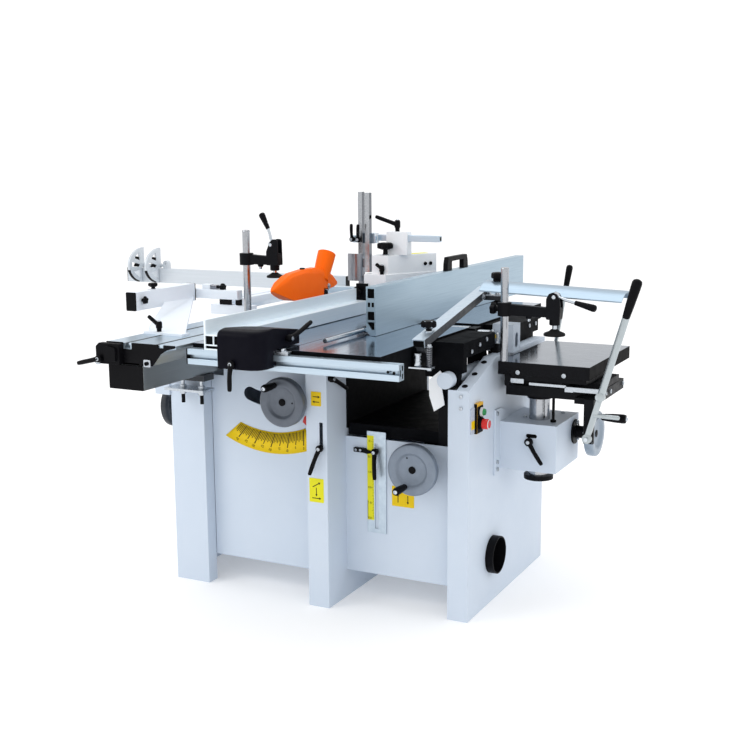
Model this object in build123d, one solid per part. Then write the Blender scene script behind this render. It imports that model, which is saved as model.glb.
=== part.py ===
from build123d import *
import os
from math import sin, cos, radians

os.makedirs("parts", exist_ok=True)

# Combination woodworking machine: sliding-table saw, spindle moulder, planer,
# thicknesser and mortiser on one sheet-steel base. Millimetres, +Z up, +X to the
# right along the front, +Y away from the operator.
# Coordinates below are measured from the front right foot of the base; SHIFT puts
# the origin under the middle of the whole machine.
SHIFT = (742.8, -439.26, 0)

TABLE_Z = 865          # working height of saw, sliding and planer tables
BASE_L = -1041         # left face of the base
BASE_R = 0             # right face of the base
BASE_BACK = 692        # rear face of the base
SHEET = 4              # cabinet sheet
PLANER_X0, PLANER_X1 = -433, -128   # planer tables
PLANER_Y0, PLANER_Y1 = -326, 1026
BLOCK_Y, BLOCK_Z, BLOCK_R = 350, 828, 37   # cutterblock
SAW_X = -680           # blade plane, also the tilt axis at table height
SAW_Y, SAW_Z, SAW_R = 205, 785, 150        # blade
WHEEL_ARC = 227        # arc slot of the saw wheel, radius about the tilt axis
HINGE_X, HINGE_Z, HINGE_R = -75, 748, 20   # planer table hinge bar
SPIN_X, SPIN_Y = -605, 610                 # spindle moulder axis
RIP_X0, RIP_X1 = -635, -586                # rip fence extrusion
FENCE_X0, FENCE_X1 = -343, -310            # planer fence
COL_X, COL_Y, COL_R = 103, 345, 33         # mortiser column
MW_Y, MW_Z = 437, 528                      # mortiser wheel axis
LEV_X, LEV_Y, LEV_Z = 311, 165, 574        # plunge lever pivot
THW_X, THW_Z = -171, 470                   # thicknesser wheel axis
RC_X, RC_Y = 36, 193                       # right clamp column
GUARD_DROOP = 2.0                          # slope of the bridge guard plate, degrees
DUST_Y, DUST_Z, DUST_R = 205, 158, 56      # dust duct
FIT = 0.05             # radial clearance of a shaft in its bore


def bx(x0, x1, y0, y1, z0, z1):
    return Pos((x0 + x1) / 2, (y0 + y1) / 2, (z0 + z1) / 2) * Box(x1 - x0, y1 - y0, z1 - z0)


def cyl(axis, a, b, r, lo, hi):
    m, h = (lo + hi) / 2, hi - lo
    if axis == "x":
        return Pos(m, a, b) * Rot(0, 90, 0) * Cylinder(r, h)
    if axis == "y":
        return Pos(a, m, b) * Rot(90, 0, 0) * Cylinder(r, h)
    return Pos(a, b, m) * Cylinder(r, h)


def prism(axis, pts, lo, hi):
    if axis == "x":
        pl = Plane(origin=(lo, 0, 0), x_dir=(0, 1, 0), z_dir=(1, 0, 0))
        way = (1, 0, 0)
    elif axis == "y":
        pl = Plane(origin=(0, hi, 0), x_dir=(1, 0, 0), z_dir=(0, -1, 0))
        way = (0, -1, 0)
    else:
        pl = Plane(origin=(0, 0, lo))
        way = (0, 0, 1)
    return extrude(pl * make_face(Polyline(*pts, close=True)), amount=hi - lo, dir=way)


def rod(p, q, r):
    d = Vector(*q) - Vector(*p)
    pl = Plane(origin=p, z_dir=d)
    return extrude(pl * Circle(r), amount=d.length, dir=d.normalized())


def bar(p, q, w, h, x_dir):
    d = Vector(*q) - Vector(*p)
    pl = Plane(origin=p, x_dir=x_dir, z_dir=d)
    return extrude(pl * Rectangle(w, h), amount=d.length, dir=d.normalized())


def ring_sector(x, z, r0, r1, a0, a1, lo, hi):
    """Ring sector in the XZ plane; angles from straight down, positive to +X."""
    far = 3 * r1
    wedge = prism("y", [(x, z), (x + far * sin(radians(a0)), z - far * cos(radians(a0))),
                        (x, z - 2 * far) if a0 < 0 < a1 else (x + far * sin(radians((a0 + a1) / 2)), z - far * cos(radians((a0 + a1) / 2))),
                        (x + far * sin(radians(a1)), z - far * cos(radians(a1)))], lo, hi)
    return (cyl("y", x, z, r1, lo, hi) - cyl("y", x, z, r0, lo - 1, hi + 1)) & wedge


def wheel(axis, a, b, face, back, r, hub_r, bore_r, ga, gb, grip):
    """Dished handwheel: rim, web, hub and a cranked grip that points away from the machine."""
    s = 1 if back > face else -1
    lo, hi = min(face, back), max(face, back)
    w = cyl(axis, a, b, r, lo, hi) - cyl(axis, a, b, r - 15, lo - 1, hi + 1)
    m = face + s * 0.45 * abs(back - face)
    w += cyl(axis, a, b, r - 8, min(m, m + s * 7), max(m, m + s * 7))
    w += cyl(axis, a, b, hub_r, lo, hi)
    g0, g1 = sorted((face + s * 6, face - s * grip))
    return w + cyl(axis, a + ga, b + gb, 11, g0, g1)


def out(name, shape):
    if isinstance(shape, list):
        shape = Compound(children=[Pos(*SHIFT) * s for s in shape])
    else:
        shape = Pos(*SHIFT) * shape
    export_step(shape, f"parts/{name}.step")


# ---------------------------------------------------------------- cabinet
left = bx(BASE_L, -911, -53, -49, 0, 705)
left += bx(BASE_L, BASE_L + SHEET, -53, BASE_BACK, 0, 705)
left += bx(-915, -911, -53, -5, 0, 705)
left += bx(BASE_L, -911, -53, -5, 701, 705)
left += bx(BASE_L, -870, 480, BASE_BACK - 4, 701, 705)
left += bx(-1100, BASE_L, -60, 40, 634, 690) - bx(-1101, BASE_L - 5, -55, 35, 630, 685)
out("left_side_panel", left)

mid = bx(-509, -436, -80, -76, 0, 798)
mid += bx(-509, -505, -80, -5, 0, 798)
mid += bx(-440, -436, -80, 688, 0, 835)
mid -= bx(-463, -451, -81, -75, 512, 600)
out("middle_wall", mid)

right = prism("x", [(0, 0), (BASE_BACK, 0), (BASE_BACK, 791), (220, 791), (0, 721)], -SHEET, 0)
right += bx(-67, 0, 0, 4, 0, 721)
right += bx(-67, -63, 0, 60, 0, 712)
right += prism("x", [(0, 717), (220, 787), (220, 791), (0, 721)], -40, 0)
right += bx(-40, 0, 220, BASE_BACK, 787, 791)
right -= cyl("x", DUST_Y, DUST_Z, DUST_R + 4.2, -5, 1)
# hinge bar of the planer tables, welded to two cheeks of the right frame
bar_ = cyl("y", HINGE_X, HINGE_Z, HINGE_R, -2, 690)
right += bar_ + cyl("y", HINGE_X, HINGE_Z, 25, -8, 26)
right += bx(-85, -4, 300, 316, 700, 740) + bx(-85, -4, 410, 426, 700, 740)
out("right_side_panel", right)
# guard box round the mortising chuck, with an oval window for the bit
box_ = bx(-50, 20, 318, 382, 791, 880) - bx(-51, 17, 321, 379, 790, 877)
win = cyl("x", BLOCK_Y, BLOCK_Z + 12, 13, 16, 21) + cyl("x", BLOCK_Y, BLOCK_Z - 12, 13, 16, 21)
win += bx(16, 21, BLOCK_Y - 13, BLOCK_Y + 13, BLOCK_Z - 12, BLOCK_Z + 12)
chuck_guard = box_ - win

saw_panel = prism("y", [(-911, 91), (-509, 91), (-509, 798), (-520, 798), (-520, 835), (-742, 835),
                        (-742, 795), (-862, 795), (-862, 705), (-911, 705)], -5, -1)
slot = ring_sector(SAW_X, TABLE_Z, WHEEL_ARC - 22, WHEEL_ARC + 22, -21.2, 26.5, -6, 0)
for a in (-21.2, 26.5):
    slot += cyl("y", SAW_X + WHEEL_ARC * sin(radians(a)), TABLE_Z - WHEEL_ARC * cos(radians(a)), 22, -6, 0)
out("saw_front_panel", saw_panel - slot)

thp = bx(-436, -67, 41, 45, 92, 536) - cyl("y", THW_X, THW_Z, 10 + FIT, 40, 46)
thp += bx(-402, -362, 37, 41, 489, 503)                   # pointer of the depth scale
out("thicknesser_front_panel", thp)

rear = prism("y", [(-1037, 0), (-4, 0), (-4, 780), (-30, 780), (-30, 560), (-440, 560), (-440, 835), (-742, 835),
                   (-742, 795), (-862, 795), (-862, 701), (-1037, 701)], 688, BASE_BACK)
rear -= bx(-441, -435, 687, 693, 0, 835)
rear += bx(-1037, -440, -1, 688, 88, 92)
rear += bx(-436, -4, 60, 688, 88, 92)
rear += cyl("z", -250, 345, 62, 92, 330) - cyl("z", -250, 345, 45 + FIT, 91, 331)
out("rear_panel", [s for s in rear.solids()])

# ---------------------------------------------------------------- saw and spindle table
tab = bx(-748, -436, PLANER_Y0, 760, 835, TABLE_Z)
tab += bx(-748, -436, PLANER_Y0, -312, 808, 835)
tab += bx(-748, -744, PLANER_Y0, 760, 822, 835)
for x0, y0, y1 in ((-738, -305, -8), (-662, 30, 416), (-738, 446, 525)):
    tab -= bx(x0, -446, y0, y1, 834, 853)                 # ribbed underside
tab -= bx(-698, -672, 50, 404, 830, 870)
tab -= cyl("z", SPIN_X, SPIN_Y, 65, 800, 870)
tab += cyl("z", SPIN_X, SPIN_Y, 75, 825, 835) + cyl("z", SPIN_X, SPIN_Y, 42, 742, 835)
tab -= cyl("z", SPIN_X, SPIN_Y, 15 + FIT, 740, 840)
for y0 in (8, 426):
    tab += prism("y", [(-742, 835), (-600, 835), (-600, 770), (-640, 700), (-720, 700), (-742, 770)], y0, y0 + 12)
out("saw_table", tab)

rail = bx(-745, -56, -360, -328, 807, 853)
rail -= bx(-746, -55, -361, -354, 824, 836)
rail -= bx(-746, -55, -354.5, -345, 818, 842)
for x in (-700, -590, -480):
    rail += bx(x - 15, x + 15, -328, -326, 815, 850)
out("rip_rail", rail)

beam = bx(-1003, -876, -402, 1000, 722, 797) - bx(-995, -884, -410, 1010, 730, 789)
out("slide_beam", beam)

sup = bx(-1018, -866, -118, -53, 664, 672)
for x in (-965, -892):
    sup += cyl("z", x, -88, 6, 622, 702) + cyl("z", x, -88, 11, 652, 664) + cyl("z", x, -88, 11, 672, 682)
sup += bx(-985, -862, -116, -60, 702, 722)
sup2 = bx(-1000, -880, 500, 640, 705, 722)
out("beam_supports", [sup, sup2])

# curved band with a slanting left end
band = [(SAW_X + 403 * sin(radians(a)), TABLE_Z - 403 * cos(radians(a))) for a in [-26.5 + 48.5 * i / 24 for i in range(25)]]
band += [(SAW_X + 332 * sin(radians(a)), TABLE_Z - 332 * cos(radians(a))) for a in [22 - 43.1 * i / 24 for i in range(25)]]
out("tilt_scale", prism("y", band, -6.5, -5))

# ---------------------------------------------------------------- spindle hood
hood = prism("z", [(-624, 540), (-538, 540), (-436, 742), (-436, 752), (-624, 752)], TABLE_Z, 998)
hood -= prism("z", [(-630, 556), (-546, 556), (-470, 706), (-470, 722), (-630, 722)], TABLE_Z - 1, 985)
hood += prism("z", [(-600, 555), (-535, 555), (-436, 748), (-436, 752), (-600, 752)], 998, 1064)
hood -= prism("z", [(-592, 563), (-541, 563), (-448, 744), (-592, 744)], 990, 1056)
hood += bx(-562, -481, 596, 634, 1064, 1146)
hood += bx(-654, -361, 606, 628, 1112, 1134)
hood += bx(-658, -600, 579, 616, 1104, 1140)
# left half of the spindle fence with its bracket
hood += bx(-778, -645, 505, 538, 917, 953) - bx(-779, -700, 511, 532, 923, 947)
hood += bx(-650, -606, 528, 540, 905, 965)
out("spindle_hood", hood)
posts = [bx(-655, -638, 558, 578, 905, 1286) + bx(-694, -638, 556, 558, 972, 1068),
         bx(-628, -610, 558, 578, 1003, 1283)]
posts[0] += bx(-638, -628, 560, 576, 1020, 1050)
out("pressure_posts", posts[0] + posts[1])
spin = cyl("z", SPIN_X, SPIN_Y, 15, 690, 975) + cyl("z", SPIN_X, SPIN_Y, 45, 690, 735)
spin += cyl("z", SPIN_X, SPIN_Y, 42, 885, 925) + cyl("z", SPIN_X, SPIN_Y, 22, 850, 885)
out("spindle", spin)

# ---------------------------------------------------------------- saw unit
tru = ring_sector(SAW_X, TABLE_Z, 120, 165, -50, 62, 24, 36)
tru += ring_sector(SAW_X, TABLE_Z, 120, 165, -50, 62, 410, 422)
tru += bx(-558, -540, 36, 410, 752, 792)
wx, wz = -579, 658
tru += prism("y", [(-645, 715), (-548, 775), (-552, 640), (-606, 640)], 24, 36)
tru += cyl("y", wx, wz, 18, 36, 60)
tru -= cyl("y", wx, wz, 10 + FIT, 20, 70)
out("saw_trunnion", tru)

arb = cyl("x", SAW_Y, SAW_Z, 30, -660, -575) + bx(-650, -575, 185, 225, 640, 780)
arb += cyl("x", SAW_Y, 640, 68, -660, -530)
arb += bx(-678.5, -650, 354, 386, 727, 765) + bx(-660, -640, 224, 386, 727, 765)
arb -= cyl("x", SAW_Y, SAW_Z, 12.5 + FIT, -670, -570)
# riving knife behind the blade
knife = prism("x", [(352, 725), (388, 725), (394, 800), (390, 880), (368, 978), (326, 978), (322, 890), (351.6, 838), (361, 785)], -681.5, -678.5)
knife -= cyl("x", 343, 962, 4 + FIT, -685, -675)
out("saw_arbor_unit", arb + knife)

bl = cyl("x", SAW_Y, SAW_Z, SAW_R, -681.4, -678.6)
for i in range(36):
    a = radians(i * 10)
    bl -= Pos(-680, SAW_Y + SAW_R * cos(a), SAW_Z + SAW_R * sin(a)) * Rot(i * 10, 0, 0) * Box(4, 12, 4)
bl += cyl("x", SAW_Y, SAW_Z, 12.5, -692, -561) + cyl("x", SAW_Y, SAW_Z, 28, -690, -681) + cyl("x", SAW_Y, SAW_Z, 28, -679, -664)
bl += cyl("x", SAW_Y, SAW_Z, 30, -573, -561)
out("saw_blade", bl)

gp = [(16, 1000), (24, 984), (122, 944), (300, 942), (366, 950), (420, 968), (428, 980), (400, 1002), (350, 1027),
      (300, 1038), (160, 1040), (90, 1034), (44, 1016)]
gi = [(44, 988), (122, 935), (300, 935), (376, 935), (392, 985), (342, 1017), (294, 1030), (160, 1032), (94, 1024)]
gd = prism("x", gp, -704, -656)
gd += rod((-680, 332, 1008), (-680, 373, 1082), 31)       # chip spout
gd -= prism("x", gi, -700, -660)
gd -= rod((-680, 318, 983), (-680, 376, 1088), 20)
gd -= rod((-680, 334.5, 1012.5), (-680, 376, 1088), 28)
gd += cyl("x", 343, 962, 4, -702, -658)
out("saw_guard", gd)

swh = wheel("y", wx, wz, -114, -86, 78, 20, 10, -20, 54, 68) + cyl("y", wx, wz, 10, -87, 60)
out("saw_handwheel", swh)

lhw = wheel("x", 73, 575, -1126, -1102, 78, 18, 9, 52, 12, 40) + cyl("x", 73, 575, 9, -1103, -1041)
out("left_handwheel", lhw)

# ---------------------------------------------------------------- sliding table
car = prism("y", [(-1005, TABLE_Z), (-752, TABLE_Z), (-752, 856), (-784, 851), (-810, 840), (-828, 824), (-838, 801), (-1005, 801)], -404, 1000)
for x in (-930, -824):
    car -= bx(x - 6, x + 6, -405, 1001, 856, 866)
    car -= bx(x - 11, x + 11, -405, 1001, 847, 857)
out("sliding_carriage", car)

lock = rod((-1040, -416, 812), (-1104, -416, 794), 7) + cyl("y", -1012, 818, 14, -430, -404.5)
lock += bx(-1045, -1010, -428, -406, 804, 830)
out("carriage_lock_lever", lock)

# sheet bracket: foot on the carriage, folded wing up to the side of the tube
arm_ = prism("z", [(-1002, -232), (-850, -242), (-850, -200), (-1002, -150)], TABLE_Z, TABLE_Z + 7)
foot_l, foot_r = (-1038, -162, TABLE_Z), (-848, -226, TABLE_Z)
top_l, top_r = (-1133, 56, 922), (-1133, 222, 920)
for tri in ((foot_l, foot_r, top_r), (foot_l, top_r, top_l)):
    arm_ += Solid.extrude(Face(Wire.make_polygon([Vector(*q) for q in tri], close=True)), Vector(0, 0, 7))
fr = bx(-1168, -1130, -101, 226, 914, 974)
fr2 = bx(-1182, -1005, 394, 430, 845, 881)
fr2 += bx(-1182, -1147, 430, 880, 845, 881) + bx(-1182, -1005, 880, 916, 845, 881)
out("outrigger_frame", [arm_ + fr, fr2])

xf = bx(-1948, -880, 880, 910, 890, 950) - bx(-1949, -879, 886, 904, 896, 944)
xf += cyl("z", -900, 895, 18, 882, 890)
xf += cyl("x", 895, 962, 5, -1904, -1750)
xf += bx(-1900, -1892, 888, 902, 950, 962) + bx(-1840, -1832, 888, 902, 950, 962)
lug = bx(-1764, -1736, 886, 904, 950, 970) + cyl("y", -1750, 970, 14, 886, 904)
xf += lug - cyl("y", -1750, 970, 3, 880, 890)
out("crosscut_fence", xf)


def stop(x0, x1):
    """D-shaped flip stop with three windows, pivoted on the fence's rod."""
    t = [radians(180 * i / 18) for i in range(19)]
    edge = [(895 - 103 * sin(a), 963 + 75 * cos(a)) for a in t if 963 + 75 * cos(a) > 889]
    s = prism("x", edge + [(878, 889), (878, 954), (895, 954)], x0, x1)
    s += cyl("x", 895, 962, 10, x0, x1)
    s -= prism("x", [(828, 996), (864, 984), (864, 1016), (856, 1016)], x0 - 1, x1 + 1)
    s -= prism("x", [(812, 960), (856, 956), (866, 966), (812, 983)], x0 - 1, x1 + 1)
    s -= prism("x", [(822, 938), (866, 906), (866, 944)], x0 - 1, x1 + 1)
    return s - cyl("x", 895, 962, 5 + FIT, x0 - 1, x1 + 1)


out("flip_stop_a", stop(-1878, -1868))
out("flip_stop_b", stop(-1790, -1780))


out("left_clamp_column", cyl("z", -930, 255, 13, TABLE_Z + 0, 1157) + cyl("z", -930, 255, 22, TABLE_Z, TABLE_Z + 12))
la = bx(-953, -907, 235, 275, 1044, 1084) - cyl("z", -930, 255, 13 + FIT, 1040, 1090)
la += bx(-907, -841, 243, 267, 1048, 1076)
la += prism("y", [(-841, 1046), (-795, 1046), (-795, 1132), (-818, 1132), (-841, 1108)], 239, 271) - bx(-843, -793, 245, 265, 1092, 1134)
la += cyl("z", -817, 255, 7, 1020, 1046) + cyl("z", -817, 255, 29, 1004, 1020)
la += cyl("y", -824, 1115, 5, 239, 271)
out("left_clamp_arm", la)
ll = cyl("y", -824, 1115, 13, 246, 264) + rod((-827, 255, 1122), (-843, 255, 1182), 5) + rod((-840, 255, 1174), (-866, 255, 1219), 11)
ll -= cyl("y", -824, 1115, 5 + FIT, 240, 270)
out("left_clamp_lever", ll)

# ---------------------------------------------------------------- rip fence
rb = bx(RIP_X0, RIP_X1, -430, 490, 867, 911) + bx(RIP_X0, RIP_X0 + 7, -430, 490, 911, 952)
rb -= bx(RIP_X0 + 5, RIP_X0 + 30, -440, 500, 883, 907) + bx(RIP_X0 + 34, RIP_X1 - 4, -440, 500, 883, 907)
rb -= bx(RIP_X0 + 5, RIP_X1 - 4, -440, 500, 871, 879)
out("rip_fence_bar", rb)
blk = prism("x", [(-436, 818), (-436, 900), (-420, 920), (-390, 926), (-215, 908), (-215, 868), (-366, 868), (-366, 818)], RIP_X1, -449)
blk += cyl("y", -536, 834, 6, -450, -436)
blk += cyl("x", -286, 892, 6, -449, -432)
out("rip_fence_block", blk)
rl = cyl("y", -536, 834, 13, -450, -437) + bar((-536, -444, 826), (-536, -452, 756), 15, 9, (1, 0, 0))
rl -= cyl("y", -536, 834, 6 + FIT, -452, -436)
out("rip_fence_lever", rl)
ul = cyl("x", -286, 892, 11, -448, -430) + rod((-436, -280, 898), (-422, -190, 930), 8)
ul -= cyl("x", -286, 892, 6 + FIT, -450, -425)
out("rip_clamp_lever", ul)

# ---------------------------------------------------------------- planer
EYE = [(-112, 806), (-58, 806), (-58, 790), (-48, 770), (-48, 730), (-60, 722), (-95, 722), (-112, 740)]
EYE_WIDE = [(-112, 806), (-30, 812), (-30, 768), (-46, 764), (-48, 730), (-60, 722), (-95, 722), (-112, 740)]


def table(y0, y1, lip_at_high, cy0, cy1, cy2, front_eye):
    t = bx(PLANER_X0, PLANER_X1, y0, y1, 835, TABLE_Z)
    t += bx(PLANER_X0, PLANER_X0 + 10, y0, y1, 822, 835)
    t += bx(PLANER_X1 - 12, PLANER_X1, y0, y1, 808, 835)
    e0, e1 = (y0, y0 + 12) if lip_at_high else (y1 - 12, y1)
    t += bx(PLANER_X0, PLANER_X1, e0, e1, 812, 835)
    m = (y0 + y1) / 2
    for p0, p1 in ((y0 + 25, m - 8), (m + 8, y1 - 25)):   # ribbed underside
        t -= bx(PLANER_X0 + 13, PLANER_X1 - 15, p0, p1, 834, 852)
    # hinge casting above the bar, with an eye round the bar near each end
    t += prism("y", [(PLANER_X1, 812), (PLANER_X1, 858), (-30, 858), (-30, 811), (-58, 804), (-112, 804)], cy0, cy1)
    t += prism("y", front_eye, cy0, cy0 + 28)
    t += prism("y", EYE, cy2 - 30, cy2)
    t -= cyl("y", HINGE_X, HINGE_Z, HINGE_R + FIT, cy0 - 1, cy1 + 1)
    return t


inf = table(PLANER_Y0, 306, True, 30, 290, 290, EYE_WIDE)
inf += bx(PLANER_X1, -100, -118, -72, 815, 842) + bx(PLANER_X1, -121, -112, -78, 842, 872)
inf += cyl("x", -95, 862, 6, -122, -92)
out("infeed_table", inf)
outf = table(394, PLANER_Y1, False, 440, 706, 670, EYE)
outf += prism("y", [(-112, 806), (-48, 806), (-48, 772), (-112, 772)], 545, 706)
out("outfeed_table", outf)

pf = prism("y", [(FENCE_X0, 880), (FENCE_X0 + 14, 866), (FENCE_X1, 866), (FENCE_X1, 1016), (FENCE_X0, 1016)], 9, 1335)
for z0, z1 in ((884, 908), (914, 940), (946, 975), (981, 1010)):
    pf -= bx(FENCE_X0 + 5, FENCE_X1 - 5, 0, 1340, z0, z1)
hd = bx(-334, -320, 592, 614, 1016, 1060) + bx(-334, -320, 732, 754, 1016, 1060) + bx(-334, -320, 592, 754, 1048, 1062)
# guide rod along the foot of the fence, with its block
gr = rod((-368, -205, 877), (-368, 66, 877), 7) + bx(-374, -342, 44, 66, 869, 887)
out("planer_fence", pf + hd + gr)

ga = bar((-107, -122, 874), (-107, 396, 978), 40, 24, (1, 0, 0)) + cyl("x", -95, 862, 18, -119, -95)
ga += cyl("z", -107, -50, 6, 895, 912) + cyl("z", -107, -50, 17, 912, 932)
ga -= cyl("x", -95, 862, 6 + FIT, -125, -85)
ga -= bx(-130, -120.5, -123, -66, 800, 882)
# cross piece and post under the plate
ga += bx(-90, -32, 338, 362, 952, 966) + cyl("z", -46, 350, 7, 966, 1005)
out("guard_arm", ga)
gpl = prism("x", [(285, 969), (303, 982), (325, 992), (350, 996), (375, 992), (397, 982), (415, 969), (415, 973),
                  (397, 986), (375, 996), (350, 1000), (325, 996), (303, 986), (285, 973)], -84, 372)
gpl += bx(-58, -34, 338, 362, 996.5, 1008) + cyl("z", -46, 350, 13, 1008, 1026)
# the plate droops a little towards its free end
gpl = Pos(372, 0, 996) * Rot(0, GUARD_DROOP, 0) * Pos(-372, 0, -996) * gpl
out("guard_plate", gpl)

cb = cyl("x", BLOCK_Y, BLOCK_Z, BLOCK_R - 2, -415, -140)
for i in range(4):
    a = 45 + 90 * i
    cb -= Pos(-277, BLOCK_Y + 36 * cos(radians(a)), BLOCK_Z + 36 * sin(radians(a))) * Rot(a, 0, 0) * Box(280, 12, 14)
    cb += Pos(-277.5, BLOCK_Y + 31.5 * cos(radians(a)), BLOCK_Z + 31.5 * sin(radians(a))) * Rot(a, 0, 0) * Box(275, 11, 3)
cb += cyl("x", BLOCK_Y, BLOCK_Z, 17.5, -434, -20) + cyl("x", BLOCK_Y, BLOCK_Z, 22, -40, 8) - cyl("x", BLOCK_Y, BLOCK_Z, 8, -32, 9)
cb += cyl("x", BLOCK_Y, BLOCK_Z, 26, -110, -70)
out("cutterblock", cb)

head = bx(-436, -417, 322, 378, 792, 860) + bx(-138, -112, 322, 378, 792, 860) + bx(-138, -4, 324, 376, 791, 798)
head -= cyl("x", BLOCK_Y, BLOCK_Z, 17.5 + FIT, -440, -100)
liner = bx(-436, -431, 46.5, 660, 560, 818) - cyl("x", BLOCK_Y, BLOCK_Z, 17.5 + FIT, -440, -420)
side = bx(-118, -70, 46.5, 50.5, 537, 715) + bx(-118, -114, 50.5, 290, 537, 715)
side += prism("y", [(-140, 692), (-140, 742), (-104, 772), (-98, 764), (-98, 716), (-89, 668), (-124, 645)], 26.5, 28.5)
side += bx(-116, -108, 26.5, 50.5, 655, 663)
out("planer_head", [s for s in (head + liner).solids()] + [side, chuck_guard])

# ---------------------------------------------------------------- thicknesser
tt = bx(-430, -120, 52, 640, 540, 577) - bx(-418, -132, 64, 628, 530, 560)
tt += bx(-300, -200, 64, 628, 545, 560) + cyl("z", -250, 345, 45, 110, 560)
tt += bx(-351, -341, 40, 52, 541, 560)
tt -= cyl("z", -250, 345, 34, 109, 530)
out("thicknesser_table", tt)
ds = bx(-358, -292, 36.5, 40, 231, 560) - bx(-331, -319, 30, 50, 245, 522)
out("depth_scale", ds)
thw = wheel("y", THW_X, THW_Z, -38, -10, 80, 20, 10, -20, -52, 70) + cyl("y", THW_X, THW_Z, 10, -11, 60)
out("thicknesser_handwheel", thw)
dl = cyl("y", -325, 497, 12, 18, 35.5) + cyl("y", -325, 497, 5, 35, 41) + bar((-325, 22, 490), (-318, 12, 410), 14, 9, (1, 0, 0))
out("depth_lock_lever", dl)
fl = cyl("y", -457, 520, 11, -98, -80.5) + cyl("y", -457, 520, 5, -81, -66) + bar((-457, -92, 512), (-486, -104, 436), 14, 9, (1, 0, 0))
out("feed_lever", fl)

# ---------------------------------------------------------------- mortiser
mb = bx(0, 190, 250, 482, 430, 582) - bx(6, 184, 256, 476, 436, 576)
mb += prism("x", [(206, 415), (500, 415), (500, 580), (335, 580), (318, 598), (300, 609), (275, 619), (250, 624), (206, 625)], 0, 6)
mb += cyl("z", COL_X, COL_Y, 48, 430, 470) + cyl("z", COL_X, COL_Y, 48, 545, 582)
mb += cyl("x", MW_Y, MW_Z, 40, 186, 196) + cyl("x", MW_Y, MW_Z, 20, 186, 222)
mb += cyl("y", 105, 527, 6, 226, 256)
mb -= cyl("z", COL_X, COL_Y, COL_R + FIT, 420, 600)
mb -= cyl("x", MW_Y, MW_Z, 10 + FIT, 180, 230)
mb -= cyl("z", 160, 308, 6, 500, 600)          # hole for the height stop
out("mortiser_bracket", mb)

mc = cyl("z", COL_X, COL_Y, COL_R, 400, 680) + cyl("z", COL_X, COL_Y, 47, 386, 400) + cyl("z", COL_X, COL_Y, 6, 376, 386)
mc += cyl("z", COL_X, COL_Y, 40, 650, 674)
mc += bx(27, 280, 240, 450, 672, 704) + bx(280, 330, 262, 497, 672, 704)
mc += bx(262, 326, 190, 260, 672, 690) + bx(296, 326, 176, 190, 556, 690)
mc += cyl("y", LEV_X, LEV_Z, 6, 150, 180)
out("mortiser_column", mc)

cs = bx(45, 330, 250, 440, 706, 726) + bx(236, 262, 175, 252, 708, 724) + bx(236, 362, 175, 180, 710, 724)
cs += bx(100, 140, 438, 710, 706, 720) + cyl("x", 700, 713, 6, 17, 140)
out("cross_slide", cs)

mt = bx(22, 310, 180, 640, 746, 786) - bx(32, 300, 190, 630, 740, 772)
mt += bx(50, 300, 184, 216, 732, 774) + bx(60, 300, 216, 470, 730, 774) - bx(72, 288, 228, 458, 729, 764)
out("mortise_table", mt)
mw = wheel("x", MW_Y, MW_Z, 268, 244, 70, 17, 10, 28, 46, 85) + cyl("x", MW_Y, MW_Z, 10, 186, 245)
out("mortiser_handwheel", mw)

pl_ = bar((LEV_X, LEV_Y, LEV_Z), (349, LEV_Y, 706), 22, 9, (1, 0, 0)) + cyl("y", LEV_X, LEV_Z, 14, LEV_Y - 6, LEV_Y + 6)
pl_ += rod((347, LEV_Y, 699), (446, LEV_Y, 1043.52), 8) + rod((417, LEV_Y, 942.6), (448, LEV_Y, 1050.48), 15)
pl_ += rod((330, LEV_Y, 647), (407, LEV_Y, 646), 6)         # stop peg
pl_ -= cyl("y", LEV_X, LEV_Z, 6 + FIT, 140, 190)
out("plunge_lever", pl_)
tl = cyl("x", 700, 713, 14, 20, 35) + rod((27.5, 700, 713), (72.4, 700, 985), 7) + rod((67.6, 700, 956), (81, 700, 1038), 10)
tl -= cyl("x", 700, 713, 6 + FIT, 10, 60)
out("traverse_lever", tl)
kl = cyl("y", 105, 527, 14, 230, 249) + bar((105, 240, 520), (152, 226, 462), 15, 10, (1, 0, 0))
kl -= cyl("y", 105, 527, 6 + FIT, 220, 250)
out("mortiser_lock_lever", kl)

out("right_clamp_column", cyl("z", RC_X, RC_Y, 12, 786, 1067) + cyl("z", RC_X, RC_Y, 12.5, 786, 796))
ra = bx(12, 57, RC_Y - 18, RC_Y + 18, 928, 962) + cyl("x", RC_Y, 945, 9, -13, 14)
ra -= cyl("z", RC_X, RC_Y, 12 + FIT, 920, 970)
ra += bx(57, 178, RC_Y - 12, RC_Y + 12, 930, 958) + bx(176, 214, RC_Y - 16, RC_Y + 16, 922, 1004) - bx(174, 216, RC_Y - 10, RC_Y + 10, 972, 1006)
ra += cyl("z", 195, RC_Y, 6, 892, 922) + cyl("z", 195, RC_Y, 28, 878, 892) + cyl("y", 195, 990, 5, RC_Y - 16, RC_Y + 16)
out("right_clamp_arm", ra)
rlv = cyl("y", 195, 990, 13, RC_Y - 9, RC_Y + 9) + rod((205, RC_Y, 988), (264, RC_Y, 973), 4.5) + rod((260, RC_Y, 974), (320, RC_Y, 960), 9)
rlv -= cyl("y", 195, 990, 5 + FIT, RC_Y - 20, RC_Y + 20)
out("right_clamp_lever", rlv)

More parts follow.
